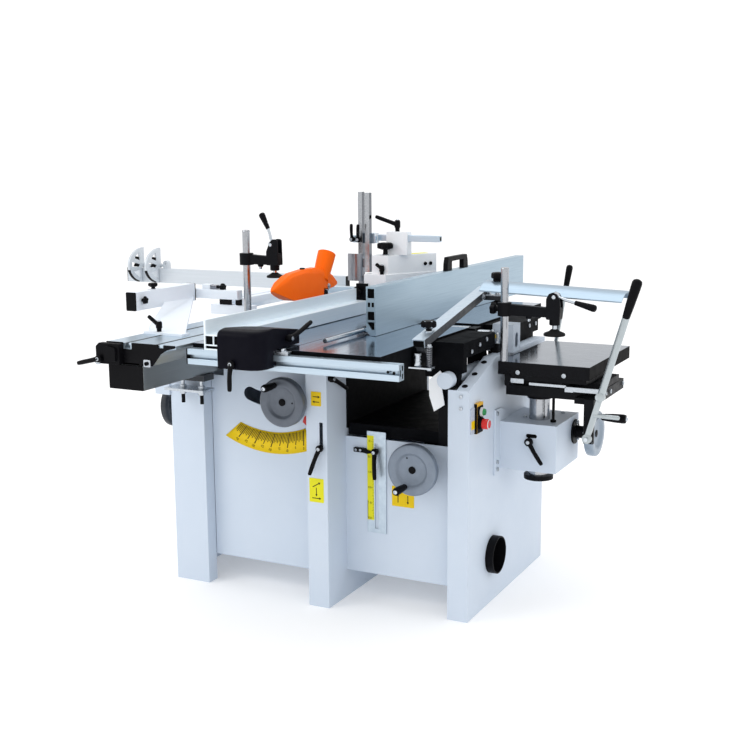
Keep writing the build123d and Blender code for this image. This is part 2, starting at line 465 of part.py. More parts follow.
# ---------------------------------------------------------------- switch and dust port
sw = bx(0, 10, 42, 90, 584, 676)
sw -= cyl("x", 70, 648, 10.3, -1, 11)
sw -= cyl("x", 68, 612, 8.3, -1, 11)
out("switch_plate", sw)
out("start_button", cyl("x", 70, 648, 10, 5, 16))
out("stop_button", cyl("x", 68, 612, 8, 5, 15) + cyl("x", 68, 612, 19, 14.5, 32))
dp = cyl("x", DUST_Y, DUST_Z, DUST_R + 4, -46, 26) + cyl("x", DUST_Y, DUST_Z, DUST_R + 9, -9, -4.4)
dp -= cyl("x", DUST_Y, DUST_Z, DUST_R, -47, 27)
out("dust_port", dp)
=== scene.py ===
import math
import bpy
import bmesh
from mathutils import Matrix, Vector
from mathutils.geometry import tessellate_polygon


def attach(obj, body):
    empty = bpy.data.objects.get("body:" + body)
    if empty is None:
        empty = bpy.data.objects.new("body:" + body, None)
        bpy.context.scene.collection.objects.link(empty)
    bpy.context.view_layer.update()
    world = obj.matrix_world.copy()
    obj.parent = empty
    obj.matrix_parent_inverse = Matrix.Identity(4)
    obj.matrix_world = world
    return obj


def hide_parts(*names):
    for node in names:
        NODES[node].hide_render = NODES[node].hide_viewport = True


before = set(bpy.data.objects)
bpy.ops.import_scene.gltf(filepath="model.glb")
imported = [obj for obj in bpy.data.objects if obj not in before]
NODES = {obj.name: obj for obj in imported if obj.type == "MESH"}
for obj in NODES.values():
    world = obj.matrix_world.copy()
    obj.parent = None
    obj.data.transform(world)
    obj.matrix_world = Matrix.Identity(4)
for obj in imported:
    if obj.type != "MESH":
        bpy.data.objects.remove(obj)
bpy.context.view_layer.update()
scene = bpy.context.scene

# Coordinates below are millimetres from the front right foot of the base; S moves
# them to the shared frame.
S = (742.8, -439.26, 0.0)


def V(x, y, z):
    return Vector(((x + S[0]) / 1000, (y + S[1]) / 1000, (z + S[2]) / 1000))


# ------------------------------------------------------------------ materials
def new_mat(name):
    m = bpy.data.materials.new(name)
    m.use_nodes = True
    nt = m.node_tree
    p = nt.nodes["Principled BSDF"]
    return m, nt, p


def finish_mat(name, col, col2, rough, metallic=0.0, scale=60.0, stretch=(1, 1, 1), var=0.5, rvar=0.08,
               bump=0.02, bscale=400.0, bdist=0.0004, coat=0.0, spec=0.5, wear=None, aniso=0.0):
    """Colour that drifts between two tones, roughness that drifts too, and a fine surface grain."""
    m, nt, p = new_mat(name)
    L = nt.links
    tc = nt.nodes.new("ShaderNodeTexCoord")
    mp = nt.nodes.new("ShaderNodeMapping")
    mp.inputs["Scale"].default_value = stretch
    L.new(tc.outputs["Object"], mp.inputs["Vector"])
    n1 = nt.nodes.new("ShaderNodeTexNoise")
    n1.inputs["Scale"].default_value = scale
    n1.inputs["Detail"].default_value = 5
    n1.inputs["Roughness"].default_value = 0.6
    L.new(mp.outputs["Vector"], n1.inputs["Vector"])
    mx = nt.nodes.new("ShaderNodeMix")
    mx.data_type = "RGBA"
    mx.inputs["A"].default_value = (*col, 1)
    mx.inputs["B"].default_value = (*col2, 1)
    cr = nt.nodes.new("ShaderNodeMapRange")
    cr.inputs["From Min"].default_value = 0.5 - 0.25 / max(var, 0.05) * 0.5
    cr.inputs["From Max"].default_value = 0.5 + 0.25 / max(var, 0.05) * 0.5
    L.new(n1.outputs["Fac"], cr.inputs["Value"])
    L.new(cr.outputs["Result"], mx.inputs["Factor"])
    out = mx.outputs["Result"]
    if wear is not None:
        # rubbed edges: convex edges show the tone underneath
        ge = nt.nodes.new("ShaderNodeNewGeometry")
        pr = nt.nodes.new("ShaderNodeMapRange")
        pr.inputs["From Min"].default_value = 0.52
        pr.inputs["From Max"].default_value = 0.62
        pr.inputs["To Max"].default_value = 0.55
        L.new(ge.outputs["Pointiness"], pr.inputs["Value"])
        m2 = nt.nodes.new("ShaderNodeMix")
        m2.data_type = "RGBA"
        m2.inputs["B"].default_value = (*wear, 1)
        L.new(out, m2.inputs["A"])
        L.new(pr.outputs["Result"], m2.inputs["Factor"])
        out = m2.outputs["Result"]
    L.new(out, p.inputs["Base Color"])
    rr = nt.nodes.new("ShaderNodeMapRange")
    rr.inputs["From Min"].default_value = 0.3
    rr.inputs["From Max"].default_value = 0.7
    rr.inputs["To Min"].default_value = max(0.02, rough - rvar)
    rr.inputs["To Max"].default_value = rough + rvar
    L.new(n1.outputs["Fac"], rr.inputs["Value"])
    L.new(rr.outputs["Result"], p.inputs["Roughness"])
    n2 = nt.nodes.new("ShaderNodeTexNoise")
    n2.inputs["Scale"].default_value = bscale
    n2.inputs["Detail"].default_value = 3
    L.new(mp.outputs["Vector"], n2.inputs["Vector"])
    b = nt.nodes.new("ShaderNodeBump")
    b.inputs["Strength"].default_value = bump
    b.inputs["Distance"].default_value = bdist
    L.new(n2.outputs["Fac"], b.inputs["Height"])
    L.new(b.outputs["Normal"], p.inputs["Normal"])
    p.inputs["Metallic"].default_value = metallic
    p.inputs["Specular IOR Level"].default_value = spec
    if coat:
        p.inputs["Coat Weight"].default_value = coat
        p.inputs["Coat Roughness"].default_value = 0.12
    if aniso:
        p.inputs["Anisotropic"].default_value = aniso
    return m


WHITE = finish_mat("white_powder_coat", (0.60, 0.675, 0.775), (0.57, 0.65, 0.755), 0.42, scale=6, var=0.5, rvar=0.05,
                   bump=0.08, bscale=900, bdist=0.0003, spec=0.30)
# Brighter copy of the white paint: painted light, making up for the light that the hood's front and the flap lack.
WHITE_LIT = finish_mat("white_paint_lit", (0.93, 0.955, 0.985), (0.91, 0.94, 0.975), 0.40, scale=8, var=0.5, rvar=0.05,
                    bump=0.06, bscale=800, bdist=0.0003, spec=0.30)
IRON = finish_mat("ground_iron", (0.275, 0.345, 0.445), (0.235, 0.300, 0.395), 0.16, metallic=1.0, scale=18,
                  stretch=(14, 0.6, 6), var=0.7, rvar=0.05, bump=0.05, bscale=60, bdist=0.0002)
# Near-black matte iron for the tables' sides and undersides. On the thicknesser table it is painted shade: its bright
# ground top is drawn black as the shaded throat.
IRON_SIDES_AND_THROAT_SHADE = finish_mat("cast_iron_sides_and_throat_shade", (0.0045, 0.0050, 0.0065), (0.0030, 0.0034, 0.0045), 0.60, metallic=0.0, scale=30, var=0.6,
                      bump=0.35, bscale=350, bdist=0.0006, spec=0.03)
ALU_Y = finish_mat("aluminium_along_y", (0.56, 0.665, 0.755), (0.48, 0.59, 0.69), 0.32, metallic=0.9, scale=20,
                   stretch=(12, 0.25, 12), var=0.5, rvar=0.05, bump=0.04, bscale=90, bdist=0.0002)
ALU_X = finish_mat("aluminium_along_x", (0.56, 0.665, 0.755), (0.48, 0.59, 0.69), 0.32, metallic=0.9, scale=20,
                   stretch=(0.25, 12, 12), var=0.5, rvar=0.05, bump=0.04, bscale=90, bdist=0.0002)
ALU_F = finish_mat("aluminium_fence", (0.41, 0.53, 0.62), (0.35, 0.465, 0.56), 0.36, metallic=0.9, scale=20,
                   stretch=(12, 0.25, 12), var=0.5, rvar=0.05, bump=0.04, bscale=90, bdist=0.0002)
ALU_C = finish_mat("aluminium_cast", (0.55, 0.64, 0.72), (0.46, 0.55, 0.64), 0.38, metallic=0.8, scale=70, var=0.5,
                   bump=0.18, bscale=500, bdist=0.0004)
ALU_R = finish_mat("aluminium_rip", (0.84, 0.92, 0.97), (0.78, 0.87, 0.94), 0.36, metallic=0.3, scale=20,
                   stretch=(12, 0.25, 12), var=0.5, rvar=0.05, bump=0.04, bscale=90, bdist=0.0002)
ALU_G = finish_mat("aluminium_guard", (0.36, 0.455, 0.545), (0.315, 0.41, 0.50), 0.34, metallic=0.8, scale=20,
                   stretch=(0.25, 12, 12), var=0.5, rvar=0.05, bump=0.04, bscale=90, bdist=0.0002)
IRON_M = finish_mat("ground_iron_small", (0.145, 0.185, 0.240), (0.115, 0.150, 0.200), 0.16, metallic=1.0, scale=18,
                    stretch=(0.8, 12, 6), var=0.6, rvar=0.05, bump=0.05, bscale=60, bdist=0.0002)
ALU_W = finish_mat("aluminium_pale", (0.62, 0.665, 0.71), (0.57, 0.615, 0.66), 0.38, metallic=0.25, scale=20,
                   stretch=(0.25, 12, 12), var=0.5, rvar=0.05, bump=0.04, bscale=90, bdist=0.0002)
ALU_D = finish_mat("aluminium_shaded", (0.38, 0.40, 0.405), (0.33, 0.35, 0.355), 0.36, metallic=0.9, scale=20,
                   stretch=(12, 0.25, 12), var=0.5, rvar=0.05, bump=0.04, bscale=90, bdist=0.0002)
STEEL_C = finish_mat("column_steel", (0.46, 0.475, 0.50), (0.38, 0.395, 0.42), 0.20, metallic=1.0, scale=40, stretch=(3, 3, 14),
                     var=0.5, rvar=0.05, bump=0.03, bscale=300, bdist=0.0002)
BAR = finish_mat("lever_bar", (0.47, 0.515, 0.535), (0.41, 0.455, 0.475), 0.30, metallic=0.9, scale=30, stretch=(4, 4, 1),
                 var=0.5, rvar=0.05, bump=0.04, bscale=200, bdist=0.0002)
# Darkest black for the planer's throat: the dark inside of the head, darkened further as painted shade.
THROAT_BLACK_AND_SHADE = finish_mat("black_throat_and_painted_shade", (0.0030, 0.0032, 0.0042), (0.0045, 0.0048, 0.0060), 0.60, scale=60, var=0.5, rvar=0.08,
                    bump=0.2, bscale=400, bdist=0.0005, spec=0.03)
STEEL_D = finish_mat("dark_steel", (0.30, 0.305, 0.33), (0.25, 0.255, 0.28), 0.24, metallic=1.0, scale=40, stretch=(3, 3, 14),
                     var=0.5, rvar=0.05, bump=0.03, bscale=300, bdist=0.0002)
WHITE_O = finish_mat("white_outrigger", (0.79, 0.845, 0.91), (0.76, 0.82, 0.89), 0.40, scale=8, var=0.5, rvar=0.05,
                     bump=0.06, bscale=800, bdist=0.0003, spec=0.30)
# Dark chrome for the guard spring. On the hold-down posts' right faces it is a painted dark reflection band.
CHROME_AND_REFLECTION = finish_mat("dark_chrome_and_painted_reflection", (0.20, 0.21, 0.23), (0.15, 0.16, 0.18), 0.14, metallic=1.0, scale=40, var=0.5, rvar=0.04,
                    bump=0.03, bscale=300, bdist=0.0002)
# Painted shade in dark grey: under the beam, on the guard arm's shaded faces and on the left handwheel.
SHADE_GREY = finish_mat("painted_shade_grey", (0.045, 0.050, 0.058), (0.032, 0.036, 0.042), 0.42, scale=60, var=0.5, bump=0.2,
                   bscale=420, bdist=0.0004, spec=0.2)
GREY = finish_mat("wheel_grey", (0.130, 0.148, 0.178), (0.110, 0.127, 0.155), 0.36, metallic=0.3, scale=50, var=0.5,
                  bump=0.10, bscale=700, bdist=0.0003, spec=0.35)
BLACKC = finish_mat("black_casting", (0.0030, 0.0032, 0.0045), (0.0050, 0.0055, 0.0075), 0.40, scale=60, var=0.5, rvar=0.08,
                    bump=0.22, bscale=420, bdist=0.0005, wear=(0.012, 0.013, 0.015), spec=0.07)
BLACKP = finish_mat("black_plastic", (0.0030, 0.0030, 0.0040), (0.0050, 0.0050, 0.0062), 0.44, scale=90, var=0.5, rvar=0.06,
                    bump=0.18, bscale=1100, bdist=0.0003, spec=0.07)
BLACKG = finish_mat("black_gloss", (0.0032, 0.0034, 0.0048), (0.0050, 0.0054, 0.0070), 0.28, scale=30, var=0.5, rvar=0.03,
                    bump=0.03, bscale=300, bdist=0.0003, spec=0.08)
RUBBER = finish_mat("black_rubber", (0.006, 0.006, 0.007), (0.010, 0.010, 0.011), 0.62, scale=120, var=0.5,
                    bump=0.25, bscale=900, bdist=0.0004, spec=0.12)
NAVY = finish_mat("fence_block_black", (0.0030, 0.0030, 0.0065), (0.0050, 0.0050, 0.0090), 0.42, scale=45, var=0.5, rvar=0.06,
                  bump=0.15, bscale=650, bdist=0.0004, spec=0.05)
STEEL = finish_mat("bright_steel", (0.60, 0.645, 0.69), (0.50, 0.545, 0.60), 0.20, metallic=1.0, scale=40, stretch=(3, 3, 14),
                   var=0.5, rvar=0.05, bump=0.04, bscale=120, bdist=0.0002)
ZINC = finish_mat("zinc_plate", (0.56, 0.60, 0.64), (0.44, 0.48, 0.53), 0.28, metallic=1.0, scale=140, var=0.6, rvar=0.06,
                  bump=0.05, bscale=500, bdist=0.0002)
ORANGE = finish_mat("orange_plastic", (0.98, 0.150, 0.004), (0.95, 0.135, 0.003), 0.42, scale=25, var=0.4, rvar=0.05,
                    bump=0.06, bscale=700, bdist=0.0003, spec=0.09)
YELLOW = finish_mat("yellow_print", (0.80, 0.56, 0.004), (0.76, 0.52, 0.004), 0.40, scale=30, var=0.4, bump=0.03,
                    bscale=500, bdist=0.0002, spec=0.2)
YELLOWS = finish_mat("yellow_switch", (0.76, 0.42, 0.012), (0.70, 0.37, 0.012), 0.36, scale=60, var=0.4, bump=0.05,
                     bscale=600, bdist=0.0002, spec=0.2)
LIME = finish_mat("yellow_rule", (0.76, 0.72, 0.015), (0.70, 0.67, 0.015), 0.38, scale=40, var=0.4, bump=0.03,
                  bscale=500, bdist=0.0002, spec=0.2)
INK = finish_mat("black_ink", (0.010, 0.009, 0.008), (0.016, 0.015, 0.013), 0.5, scale=80, var=0.4, bump=0.02, bscale=400,
                 bdist=0.0001, spec=0.12)
RED = finish_mat("red_plastic", (0.62, 0.012, 0.010), (0.55, 0.010, 0.008), 0.28, scale=40, var=0.4, bump=0.04, bscale=600,
                 bdist=0.0002, coat=0.2, spec=0.3)
GREEN = finish_mat("green_plastic", (0.015, 0.26, 0.07), (0.012, 0.21, 0.055), 0.28, scale=40, var=0.4, bump=0.04, bscale=600,
                   bdist=0.0002, coat=0.2, spec=0.3)
# Pale grey for the switch collar. The same pale grey on the stop head's rim is a painted highlight.
PALE_AND_HIGHLIGHT = finish_mat("pale_label_and_painted_highlight", (0.62, 0.64, 0.66), (0.57, 0.59, 0.61), 0.4, scale=60, var=0.4, bump=0.03, bscale=500,
                  bdist=0.0001, spec=0.25)
PALE_B = finish_mat("pale_blue_label", (0.42, 0.47, 0.58), (0.52, 0.56, 0.63), 0.4, scale=160, var=0.8, bump=0.03, bscale=500,
                    bdist=0.0002)
# Painted shade: black inside hollow cells, slots and channel mouths, and on the mortise table's right side.
SHADE_BLACK = finish_mat("painted_shade_inside", (0.002, 0.002, 0.0025), (0.0035, 0.0035, 0.004), 0.6, scale=30, var=0.5, bump=0.1, bscale=300,
                  bdist=0.0004, spec=0.04)


# ------------------------------------------------------------------ mesh code
class Mesh:
    """Collects closed shells in millimetres and makes one object of them."""

    def __init__(self):
        self.v, self.f = [], []

    def add(self, v, f):
        k = len(self.v)
        self.v += [tuple(p) for p in v]
        self.f += [tuple(i + k for i in q) for q in f]
        return self

    def prism(self, axis, pts, lo, hi, holes=()):
        """Straight extrusion of an outline, with holes; pts are (y,z), (x,z) or (x,y)."""
        def at(p, t):
            if axis == "x":
                return (t, p[0], p[1])
            if axis == "y":
                return (p[0], t, p[1])
            return (p[0], p[1], t)
        loops = [list(pts)] + [list(h) for h in holes]
        v, f, flat = [], [], []
        for lp in loops:
            k = len(v)
            n = len(lp)
            for p in lp:
                v.append(at(p, lo))
                v.append(at(p, hi))
            for i in range(n):
                j = (i + 1) % n
                f.append((k + 2 * i, k + 2 * j, k + 2 * j + 1, k + 2 * i + 1))
            flat += list(range(k, k + 2 * n, 2))
        if not holes:
            f.append(tuple(flat))
            f.append(tuple(i + 1 for i in reversed(flat)))
        else:
            for t in tessellate_polygon([[Vector((p[0], p[1], 0)) for p in lp] for lp in loops]):
                f.append(tuple(flat[i] for i in t))
                f.append(tuple(flat[i] + 1 for i in reversed(t)))
        return self.add(v, f)

    def box(self, x0, x1, y0, y1, z0, z1):
        return self.prism("z", [(x0, y0), (x1, y0), (x1, y1), (x0, y1)], z0, z1)

    def lathe(self, axis, a, b, prof, n=40, start=0.0):
        """Turned shape round an axis; prof is a list of (place along the axis, radius)."""
        v, f = [], []
        rings = []
        for t, r in prof:
            if r < 1e-6:
                rings.append([len(v)])
                v.append(self._ax(axis, a, b, t, 0, 0))
            else:
                k = len(v)
                rings.append(list(range(k, k + n)))
                for i in range(n):
                    g = start + 2 * math.pi * i / n
                    v.append(self._ax(axis, a, b, t, r * math.cos(g), r * math.sin(g)))
        for p, q in zip(rings, rings[1:]):
            for i in range(n):
                j = (i + 1) % n
                if len(p) == 1 and len(q) == 1:
                    continue
                if len(p) == 1:
                    f.append((p[0], q[j], q[i]))
                elif len(q) == 1:
                    f.append((p[i], p[j], q[0]))
                else:
                    f.append((p[i], p[j], q[j], q[i]))
        if prof[0] != prof[-1]:
            if len(rings[0]) > 1:
                f.append(tuple(reversed(rings[0])))
            if len(rings[-1]) > 1:
                f.append(tuple(rings[-1]))
        else:
            # closed ring profile: the first and last rings are one
            m = dict(zip(rings[-1], rings[0]))
            f = [tuple(m.get(i, i) for i in q) for q in f]
        return self.add(v, f)

    @staticmethod
    def _ax(axis, a, b, t, c, s):
        if axis == "x":
            return (t, a + c, b + s)
        if axis == "y":
            return (a + c, t, b + s)
        return (a + c, b + s, t)

    def loft(self, rings, cap=True):
        """Skin through rings of equal point count."""
        n = len(rings[0])
        v = [p for r in rings for p in r]
        f = []
        for k in range(len(rings) - 1):
            for i in range(n):
                j = (i + 1) % n
                f.append((k * n + i, k * n + j, (k + 1) * n + j, (k + 1) * n + i))
        if cap:
            f.append(tuple(reversed(range(n))))
            f.append(tuple(range((len(rings) - 1) * n, len(rings) * n)))
        return self.add(v, f)

    def sweep(self, path, rad, n=16, flat=1.0, up=(0, 1, 0)):
        """Round or oval bar along a path; rad is one radius or one per point; flat squeezes it along up."""
        P = [Vector(p) for p in path]
        R = rad if isinstance(rad, (list, tuple)) else [rad] * len(P)
        rings = []
        for i, p in enumerate(P):
            d = (P[min(i + 1, len(P) - 1)] - P[max(i - 1, 0)]).normalized()
            u = Vector(up) - d * d.dot(Vector(up))
            if u.length < 1e-4:
                u = Vector((1, 0, 0)) - d * d.x
            u.normalize()
            w = d.cross(u)
            rings.append([tuple(p + w * (R[i] * math.cos(g)) + u * (R[i] * flat * math.sin(g)))
                          for g in [2 * math.pi * k / n for k in range(n)]])
        return self.loft(rings)

    def turn(self, p, d, prof, n=28, lobes=0, amp=0.13, ref=(0, 0, 1)):
        """Turned shape round any line: p on it, d along it, prof of (distance, radius[, how lobed])."""
        p, d, ref = Vector(p), Vector(d).normalized(), Vector(ref)
        u = ref - d * d.dot(ref)
        if u.length < 1e-3:
            u = Vector((1, 0, 0)) - d * d.x
        u.normalize()
        w = d.cross(u)
        v, f, rings = [], [], []
        for q in prof:
            t, r = q[0], q[1]
            a = amp * q[2] if len(q) > 2 else 0.0
            if r < 1e-6:
                rings.append([len(v)])
                v.append(tuple(p + d * t))
                continue
            k = len(v)
            rings.append(list(range(k, k + n)))
            for i in range(n):
                g = 2 * math.pi * i / n
                rr = r * (1 + a * math.cos(lobes * g))
                v.append(tuple(p + d * t + u * (rr * math.cos(g)) + w * (rr * math.sin(g))))
        for a, b in zip(rings, rings[1:]):
            for i in range(n):
                j = (i + 1) % n
                if len(a) == 1 and len(b) == 1:
                    continue
                if len(a) == 1:
                    f.append((a[0], b[i], b[j]))
                elif len(b) == 1:
                    f.append((a[i], a[j], b[0]))
                else:
                    f.append((a[i], a[j], b[j], b[i]))
        if len(rings[0]) > 1:
            f.append(tuple(reversed(rings[0])))
        if len(rings[-1]) > 1:
            f.append(tuple(rings[-1]))
        return self.add(v, f)

    def slab(self, p, u, v, n, a0, a1, b0, b1, t0, t1):
        """Box on a slanting face: p its zero point, u and v along it, n out of it."""
        p, u, v, n = Vector(p), Vector(u), Vector(v), Vector(n)
        c = [p + u * a + v * b + n * t for t in (t0, t1) for a, b in ((a0, b0), (a1, b0), (a1, b1), (a0, b1))]
        return self.add(c, [(0, 3, 2, 1), (4, 5, 6, 7), (0, 1, 5, 4), (1, 2, 6, 5), (2, 3, 7, 6), (3, 0, 4, 7)])

    def figures(self, text, p, u, v, n, h, t0, t1):
        """Plain numbers made of strokes, centred on p."""
        seg = {"0": "abcdef", "1": "bc", "2": "abged", "3": "abgcd", "4": "fgbc", "5": "afgcd", "6": "afgedc", "7": "abc",
               "8": "abcdefg", "9": "abcdfg"}
        w, s = h * 0.5, h * 0.13
        place = {"a": (0, w, h - s, h), "g": (0, w, h / 2 - s / 2, h / 2 + s / 2), "d": (0, w, 0, s), "f": (0, s, h / 2, h),
                 "b": (w - s, w, h / 2, h), "e": (0, s, 0, h / 2), "c": (w - s, w, 0, h / 2)}
        x = -(len(text) * w + (len(text) - 1) * w * 0.45) / 2
        for ch in text:
            for k in seg[ch]:
                a0, a1, b0, b1 = place[k]
                self.slab(p, u, v, n, x + a0, x + a1, b0 - h / 2, b1 - h / 2, t0, t1)
            x += w * 1.45
        return self

    def knob(self, p, d, r, h, lobes=5):
        """Star knob on a short neck."""
        return self.turn(p, d, [(0, 0), (0, r * 0.45), (h * 0.28, r * 0.42), (h * 0.40, r * 0.72, 0.5), (h * 0.50, r * 0.93, 1),
                                (h * 0.60, r, 1), (h * 0.84, r, 1), (h * 0.95, r * 0.90, 1), (h, r * 0.70, 0.7), (h * 0.97, r * 0.3),
                                (h * 0.97, 0)], 70, lobes)

    def ratchet(self, p, d, tip, hr=11.0, hl=18.0, r0=7.5, r1=6.2, rise=4.0):
        """Clamping lever: turned hub on its screw and a tapering arm with a rounded end."""
        p, d, tip = Vector(p), Vector(d).normalized(), Vector(tip)
        self.turn(p, d, [(0, 0), (0, hr * 0.74), (hl * 0.30, hr * 0.78), (hl * 0.36, hr), (hl * 0.84, hr), (hl, hr * 0.78), (hl, 0)], 32)
        a = p + d * hl * 0.60
        w = tip - a
        path = [a, a + w * 0.12 + d * rise * 0.3, a + w * 0.25 + d * rise * 0.8, a + w * 0.45 + d * rise, a + w * 0.7 + d * rise * 0.6,
                a + w * 0.90 + d * rise * 0.2, a + w * 0.965, a + w * 0.99, tip]
        rad = [r0 * 1.05, r0, r0 * 0.92, r0 * 0.88, (r0 + r1) / 2, r1 * 1.03, r1 * 0.95, r1 * 0.7, r1 * 0.25]
        return self.sweep(path, rad, 18, 1.0, tuple(d))

    def spring(self, p, q, r, wire, turns, n=10):
        """Coil spring from p to q."""
        p, q = Vector(p), Vector(q)
        d = (q - p).normalized()
        u = Vector((1, 0, 0)) - d * d.x
        if u.length < 1e-3:
            u = Vector((0, 1, 0)) - d * d.y
        u.normalize()
        w = d.cross(u)
        m = int(turns * n)
        path = [p + (q - p) * (i / m) + u * (r * math.cos(2 * math.pi * i / n)) + w * (r * math.sin(2 * math.pi * i / n))
                for i in range(m + 1)]
        return self.sweep(path, wire, 8, 1.0, tuple(d))

    def hexbolt(self, axis, a, b, base, out, r=8.0, h=6.0, washer=True):
        """Hex head on a washer; out is +1 or -1 along the axis."""
        if washer:
            self.lathe(axis, a, b, [(base, 0), (base, r * 1.45), (base + out * 1.4, r * 1.45), (base + out * 1.6, r * 1.35),
                                    (base + out * 1.6, 0)], 28)
        t = base + out * (1.6 if washer else 0)
        self.lathe(axis, a, b, [(t, 0), (t, r), (t + out * h * 0.82, r), (t + out * h, r * 0.84), (t + out * h, 0)], 6, 0.26)
        return self

    def capscrew(self, axis, a, b, base, out, r=6.0, h=5.0):
        """Socket-head screw with its hexagon recess."""
        t = base + out * h
        self.lathe(axis, a, b, [(base, 0), (base, r), (t - out * 0.7, r), (t, r - 0.7), (t, r * 0.58), (t - out * h * 0.55, r * 0.50),
                                (t - out * h * 0.55, 0)], 24)
        return self

    def make(self, name, mat, body, bevel=0.0, seg=2, angle=35, smooth=42, slot=None, rep=(), sub=0):
        me = bpy.data.meshes.new(name)
        me.from_pydata([V(*p) for p in self.v], [], self.f)
        bm = bmesh.new()
        bm.from_mesh(me)
        bmesh.ops.recalc_face_normals(bm, faces=bm.faces)
        bm.to_mesh(me)
        bm.free()
        me.shade_smooth()
        me.set_sharp_from_angle(angle=math.radians(smooth))
        o = bpy.data.objects.new(name, me)
        scene.collection.objects.link(o)
        me.materials.append(mat)
        if bevel:
            md = o.modifiers.new("edges", "BEVEL")
            md.width = bevel / 1000
            md.segments = seg
            md.limit_method = "ANGLE"
            md.angle_limit = math.radians(angle)
            md.harden_normals = True
        if sub:
            md = o.modifiers.new("round", "SUBSURF")
            md.levels = md.render_levels = sub
        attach(o, body)
        if rep:
            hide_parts(*rep)
        return o


def circle(a, b, r, n=24, start=0.0):
    return [(a + r * math.cos(start + 2 * math.pi * i / n), b + r * math.sin(start + 2 * math.pi * i / n)) for i in range(n)]


def rrect(a0, a1, b0, b1, r, n=5):
    """Rectangle with round corners, anticlockwise."""
    out = []
    for ca, cb, g0 in ((a1 - r, b0 + r, -90), (a1 - r, b1 - r, 0), (a0 + r, b1 - r, 90), (a0 + r, b0 + r, 180)):
        for i in range(n + 1):
            g = math.radians(g0 + 90 * i / n)
            out.append((ca + r * math.cos(g), cb + r * math.sin(g)))
    return out


def rounded(pts, r, n=4):
    """Outline with its corners rounded; r is one radius or one per corner."""
    out = []
    m = len(pts)
    for i in range(m):
        rr = r[i] if isinstance(r, (list, tuple)) else r
        p0, p, p1 = Vector(pts[i - 1]), Vector(pts[i]), Vector(pts[(i + 1) % m])
        a, b = (p0 - p), (p1 - p)
        la, lb = a.length, b.length
        a.normalize(); b.normalize()
        ang = a.angle(b)
        if rr <= 0 or ang > 3.10:
            out.append(tuple(p))
            continue
        d = min(rr / math.tan(ang / 2), la * 0.49, lb * 0.49)
        for k in range(n + 1):
            t = k / n
            q = (p + a * d) * (1 - t) ** 2 + p * 2 * t * (1 - t) + (p + b * d) * t * t
            out.append(tuple(q))
    return out


def dress(node, mat, bevel=1.2, seg=2, angle=40):
    """Finish on a CAD node: material, softened edges."""
    o = NODES[node]
    me = o.data
    me.materials.clear()
    me.materials.append(mat)
    at = me.attributes.get("custom_normal")
    if at:
        me.attributes.remove(at)
    me.shade_smooth()
    w = o.modifiers.new("weld", "WELD")
    w.merge_threshold = 1e-5
    if bevel:
        d = o.modifiers.new("flats", "DECIMATE")
        d.decimate_type = "DISSOLVE"
        d.angle_limit = math.radians(0.6)
        d.delimit = {"MATERIAL"}
        b = o.modifiers.new("edges", "BEVEL")
        b.width = bevel / 1000
        b.segments = seg
        b.limit_method = "ANGLE"
        b.angle_limit = math.radians(angle)
        b.harden_normals = True
    return o


def paint(node, mat, test, facing=None):
    """Second finish on the faces of a CAD node whose middle passes the test (millimetres)."""
    o = NODES[node]
    me = o.data
    me.materials.append(mat)
    k = len(me.materials) - 1
    for p in me.polygons:
        c = p.center
        if facing is not None and p.normal.dot(Vector(facing)) < 0.6:
            continue
        if test(c.x * 1000 - S[0], c.y * 1000 - S[1], c.z * 1000 - S[2]):
            p.material_index = k


# ------------------------------------------------------------------ carried-over nodes
for n in ("left_side_panel", "middle_wall", "right_side_panel", "saw_front_panel", "thicknesser_front_panel", "rear_panel"):
    dress(n, WHITE, 1.3)
for n in ("saw_table", "infeed_table", "outfeed_table"):
    dress(n, IRON, 1.0)
    paint(n, IRON_SIDES_AND_THROAT_SHADE, lambda x, y, z: z < 864.0)
# thicknesser table in near-black: painted shade in the throat
dress("thicknesser_table", IRON_SIDES_AND_THROAT_SHADE, 1.0)
# hood in the brightened white: painted light
dress("spindle_hood", WHITE_LIT, 4, 3)
dress("mortiser_bracket", WHITE, 2.5, 3)
dress("beam_supports", ZINC, 0.8)
paint("beam_supports", BLACKC, lambda x, y, z: z < 651 or (y > 400))
# upper blocks under the rail darker: painted shadow beneath the beam
paint("beam_supports", SHADE_GREY, lambda x, y, z: z > 700 and y < 400)
dress("rip_rail", ALU_X, 0.8)
dress("slide_beam", ALU_D, 1.0)
dress("sliding_carriage", ALU_Y, 0.8)
paint("sliding_carriage", ALU_D, lambda x, y, z: z < 863.5, (1, 0, 0))
dress("tilt_scale", YELLOW, 0)
dress("planer_head", BLACKC, 0.8)
# inside of the planer head in the darkest black: dark casting plus painted shade
paint("planer_head", THROAT_BLACK_AND_SHADE, lambda x, y, z: x < -138 and z < 845)
dress("switch_plate", YELLOWS, 1.5, 3)
dress("dust_port", BLACKP, 1.2)
dress("pressure_posts", STEEL_C, 1.0)
paint("pressure_posts", STEEL_D, lambda x, y, z: z < 1085)
